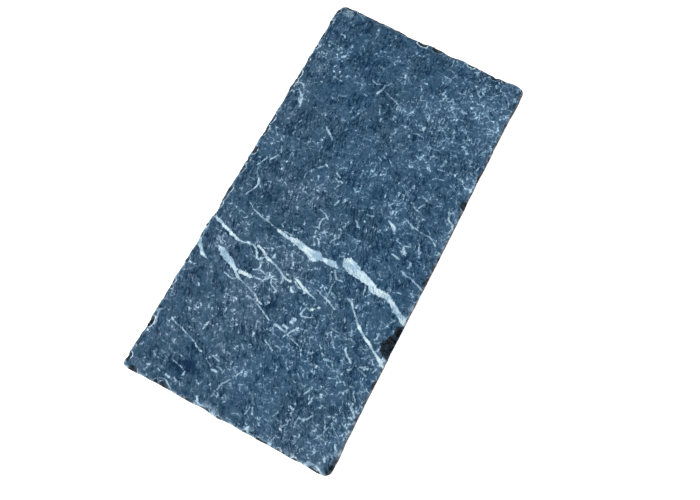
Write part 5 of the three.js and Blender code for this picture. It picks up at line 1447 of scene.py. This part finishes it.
# Each finish: its soft map, the noise that breaks it up with its two values, its dark and pale colours,
# and how much of it covers the slate at most.
# The pale rim row is partly wear and partly a painted highlight, the dark edge row is painted shade, the
# bruised row is partly bruise and partly a painted highlight, and the broken row is partly dark fresh stone
# and partly painted shade.
OVERLAYS = [
    ("worn_and_lit_rim", "chipped", 0.36, 0.52, "#6c889e", "#a8bfcd", 0.85),
    ("side", "mottle", 0.1, 0.3, "#262a2e", "#3c4146", 0.9),
    ("painted_edge_shade", "chipped", 0.3, 0.52, "#2c2a2d", "#7a797b", 0.8),
    ("bruised_and_lit", "pulse", 0.3, 0.55, "#8ba2b2", "#b9cad2", 1.0),
    ("broken", "mottle", 0.1, 0.3, "#060c10", "#273643", 1.0),
]
contrast = add(tree, "MapRange", {
    **SMOOTH, "Value": noise["mottle"], "From Min": 0.36, "From Max": 0.66})
colour = veined
for name, broken_by, start, end, dark, pale, most in OVERLAYS:
    gate = add(tree, "MapRange", {
        **SMOOTH, "Value": noise[broken_by], "From Min": start, "From Max": end, "To Max": most})
    share = add(tree, "Math", {"operation": "MULTIPLY", 0: shares[name], 1: gate})
    finish = add(tree, "MixRGB", {"Fac": contrast, "Color1": linear(dark), "Color2": linear(pale)})
    colour = add(tree, "MixRGB", {"Fac": share, "Color1": colour, "Color2": finish})
print("overlays:", len(OVERLAYS))

# %% [markdown]
# ## Surface of the stone
#
# A split limestone face has almost no shine: light that reaches it is scattered by its fine grain. Its
# refractive index is that of calcite, about 1.6, but the rough surface hides most of the reflection, so
# the specular level is set low. A bump adds what is finer than the mesh: the grain, the steps of thin
# layers, the floors of the grooves and the open crevices.

# %% Shader of the stone
# Each pattern and its height in mm.
BUMPS = [(noise["grain"], 0.25), (noise["mottle"], 1.4), (noise["speck"], 0.4), (marks["groove"], -0.9),
         (ledges, 0.5), (noise["cell"], 2.0), (crevice_line, -1.2), (calcite, 0.15)]
height = add(tree, "Math", {"operation": "ADD", 0: 0.0, 1: 0.0})
for source, amount in BUMPS:
    height = add(tree, "Math", {"operation": "MULTIPLY_ADD", 0: source, 1: amount, 2: height})
bump = add(tree, "Bump", {"Height": height, "Strength": 1.0, "Distance": MM})
shader = add(tree, "BsdfPrincipled", {
    "Base Color": colour, "Roughness": 0.78, "IOR": 1.6, "Metallic": 0.0, "Specular IOR Level": 0.07,
    "Normal": bump})
add(tree, "OutputMaterial", {"Surface": shader.outputs["BSDF"]})
mesh.materials.append(stone)
print("stone nodes:", len(tree.nodes))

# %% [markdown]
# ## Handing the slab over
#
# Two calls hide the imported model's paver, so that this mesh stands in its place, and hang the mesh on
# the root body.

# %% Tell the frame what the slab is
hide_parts("paver")
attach(paver, "root")
print("paver on the frame, materials:", [m.name for m in mesh.materials])

# %% [markdown]
# ## Floor, light and camera
#
# The slab lies on matt white backdrop paper. One large soft lamp stands to its left, low enough to rake
# across the split face and bring out its relief, and a bright plain room fills the shadows. Paper lit by
# these alone would come out grey, so it glows a little of its own and stays white. The camera looks
# steeply down from the near end through a normal lens, which keeps the long sides nearly parallel.

# %% White floor
FLOOR_SIZE = 12.0
FLOOR_GAP = 0.5 * MM      # the paper lies this far under the slab, so that the two faces don't mix
GLOW = 0.35               # strength of the paper's own light
floor_mesh = bpy.data.meshes.new("studio_floor")
half = FLOOR_SIZE / 2
floor_mesh.from_pydata([(-half, -half, 0), (half, -half, 0), (half, half, 0), (-half, half, 0)], [],
                       [(0, 1, 2, 3)])
floor = bpy.data.objects.new("studio_floor", floor_mesh)
bpy.context.scene.collection.objects.link(floor)
floor.location.z = -FLOOR_GAP
paper = bpy.data.materials.new("matt white backdrop paper")
paper.use_nodes = True
paper.node_tree.nodes.clear()
paper_shader = add(paper.node_tree, "BsdfPrincipled", {
    "Base Color": linear("#fafafa"), "Roughness": 0.9, "Specular IOR Level": 0.1,
    "Emission Color": linear("#ffffff"), "Emission Strength": GLOW})
add(paper.node_tree, "OutputMaterial", {"Surface": paper_shader.outputs["BSDF"]})
floor_mesh.materials.append(paper)
print("floor:", FLOOR_SIZE, "m")

# %% Bright room
ROOM_LIGHT = 1.35
scene = bpy.context.scene
scene.view_settings.view_transform = "Standard"
world = bpy.data.worlds.new("bright room")
scene.world = world
world.use_nodes = True
world.node_tree.nodes.clear()
room = add(world.node_tree, "Background", {"Color": linear("#ffffff"), "Strength": ROOM_LIGHT})
add(world.node_tree, "OutputWorld", {"Surface": room.outputs["Background"]})
print("room light:", ROOM_LIGHT)

# %% Soft lamp
FROM_LEFT = Vector((-0.885, -0.466, 0.0))
LAMP_AWAY, LAMP_HIGH = 1.8, 1.15      # m from the slab's middle, and above the floor
LAMP_SIZE, LAMP_POWER = 1.2, 46.0     # m across, and watts
lamp_data = bpy.data.lights.new("soft lamp", "AREA")
lamp_data.shape, lamp_data.size, lamp_data.energy = "DISK", LAMP_SIZE, LAMP_POWER
lamp = bpy.data.objects.new("soft lamp", lamp_data)
scene.collection.objects.link(lamp)
lamp.location = FROM_LEFT * LAMP_AWAY + Vector((0, 0, LAMP_HIGH))
lamp.rotation_euler = (-lamp.location).to_track_quat("-Z", "Y").to_euler()
print("lamp at", [round(v, 2) for v in lamp.location])

# %% Camera
CAMERA_AT = Vector((0.134, -0.2553, 0.9229))
LOOKS = Vector((-0.1038, 0.2432, -0.9644)).normalized()
RIGHT = Vector((0.8856, 0.464, 0.0217))
SENSOR, IMAGE_WIDTH, FOCAL = 36.0, 700, 697      # mm, and pixels
RIGHT = (RIGHT - RIGHT.dot(LOOKS) * LOOKS).normalized()
up = RIGHT.cross(LOOKS)
camera_data = bpy.data.cameras.new("camera")
camera_data.sensor_width, camera_data.lens = SENSOR, SENSOR * FOCAL / IMAGE_WIDTH
camera = bpy.data.objects.new("camera", camera_data)
scene.collection.objects.link(camera)
turn = Matrix((RIGHT, up, -LOOKS)).transposed()
camera.matrix_world = Matrix.Translation(CAMERA_AT) @ turn.to_4x4()
scene.camera = camera
print("lens, mm:", round(camera_data.lens, 2))
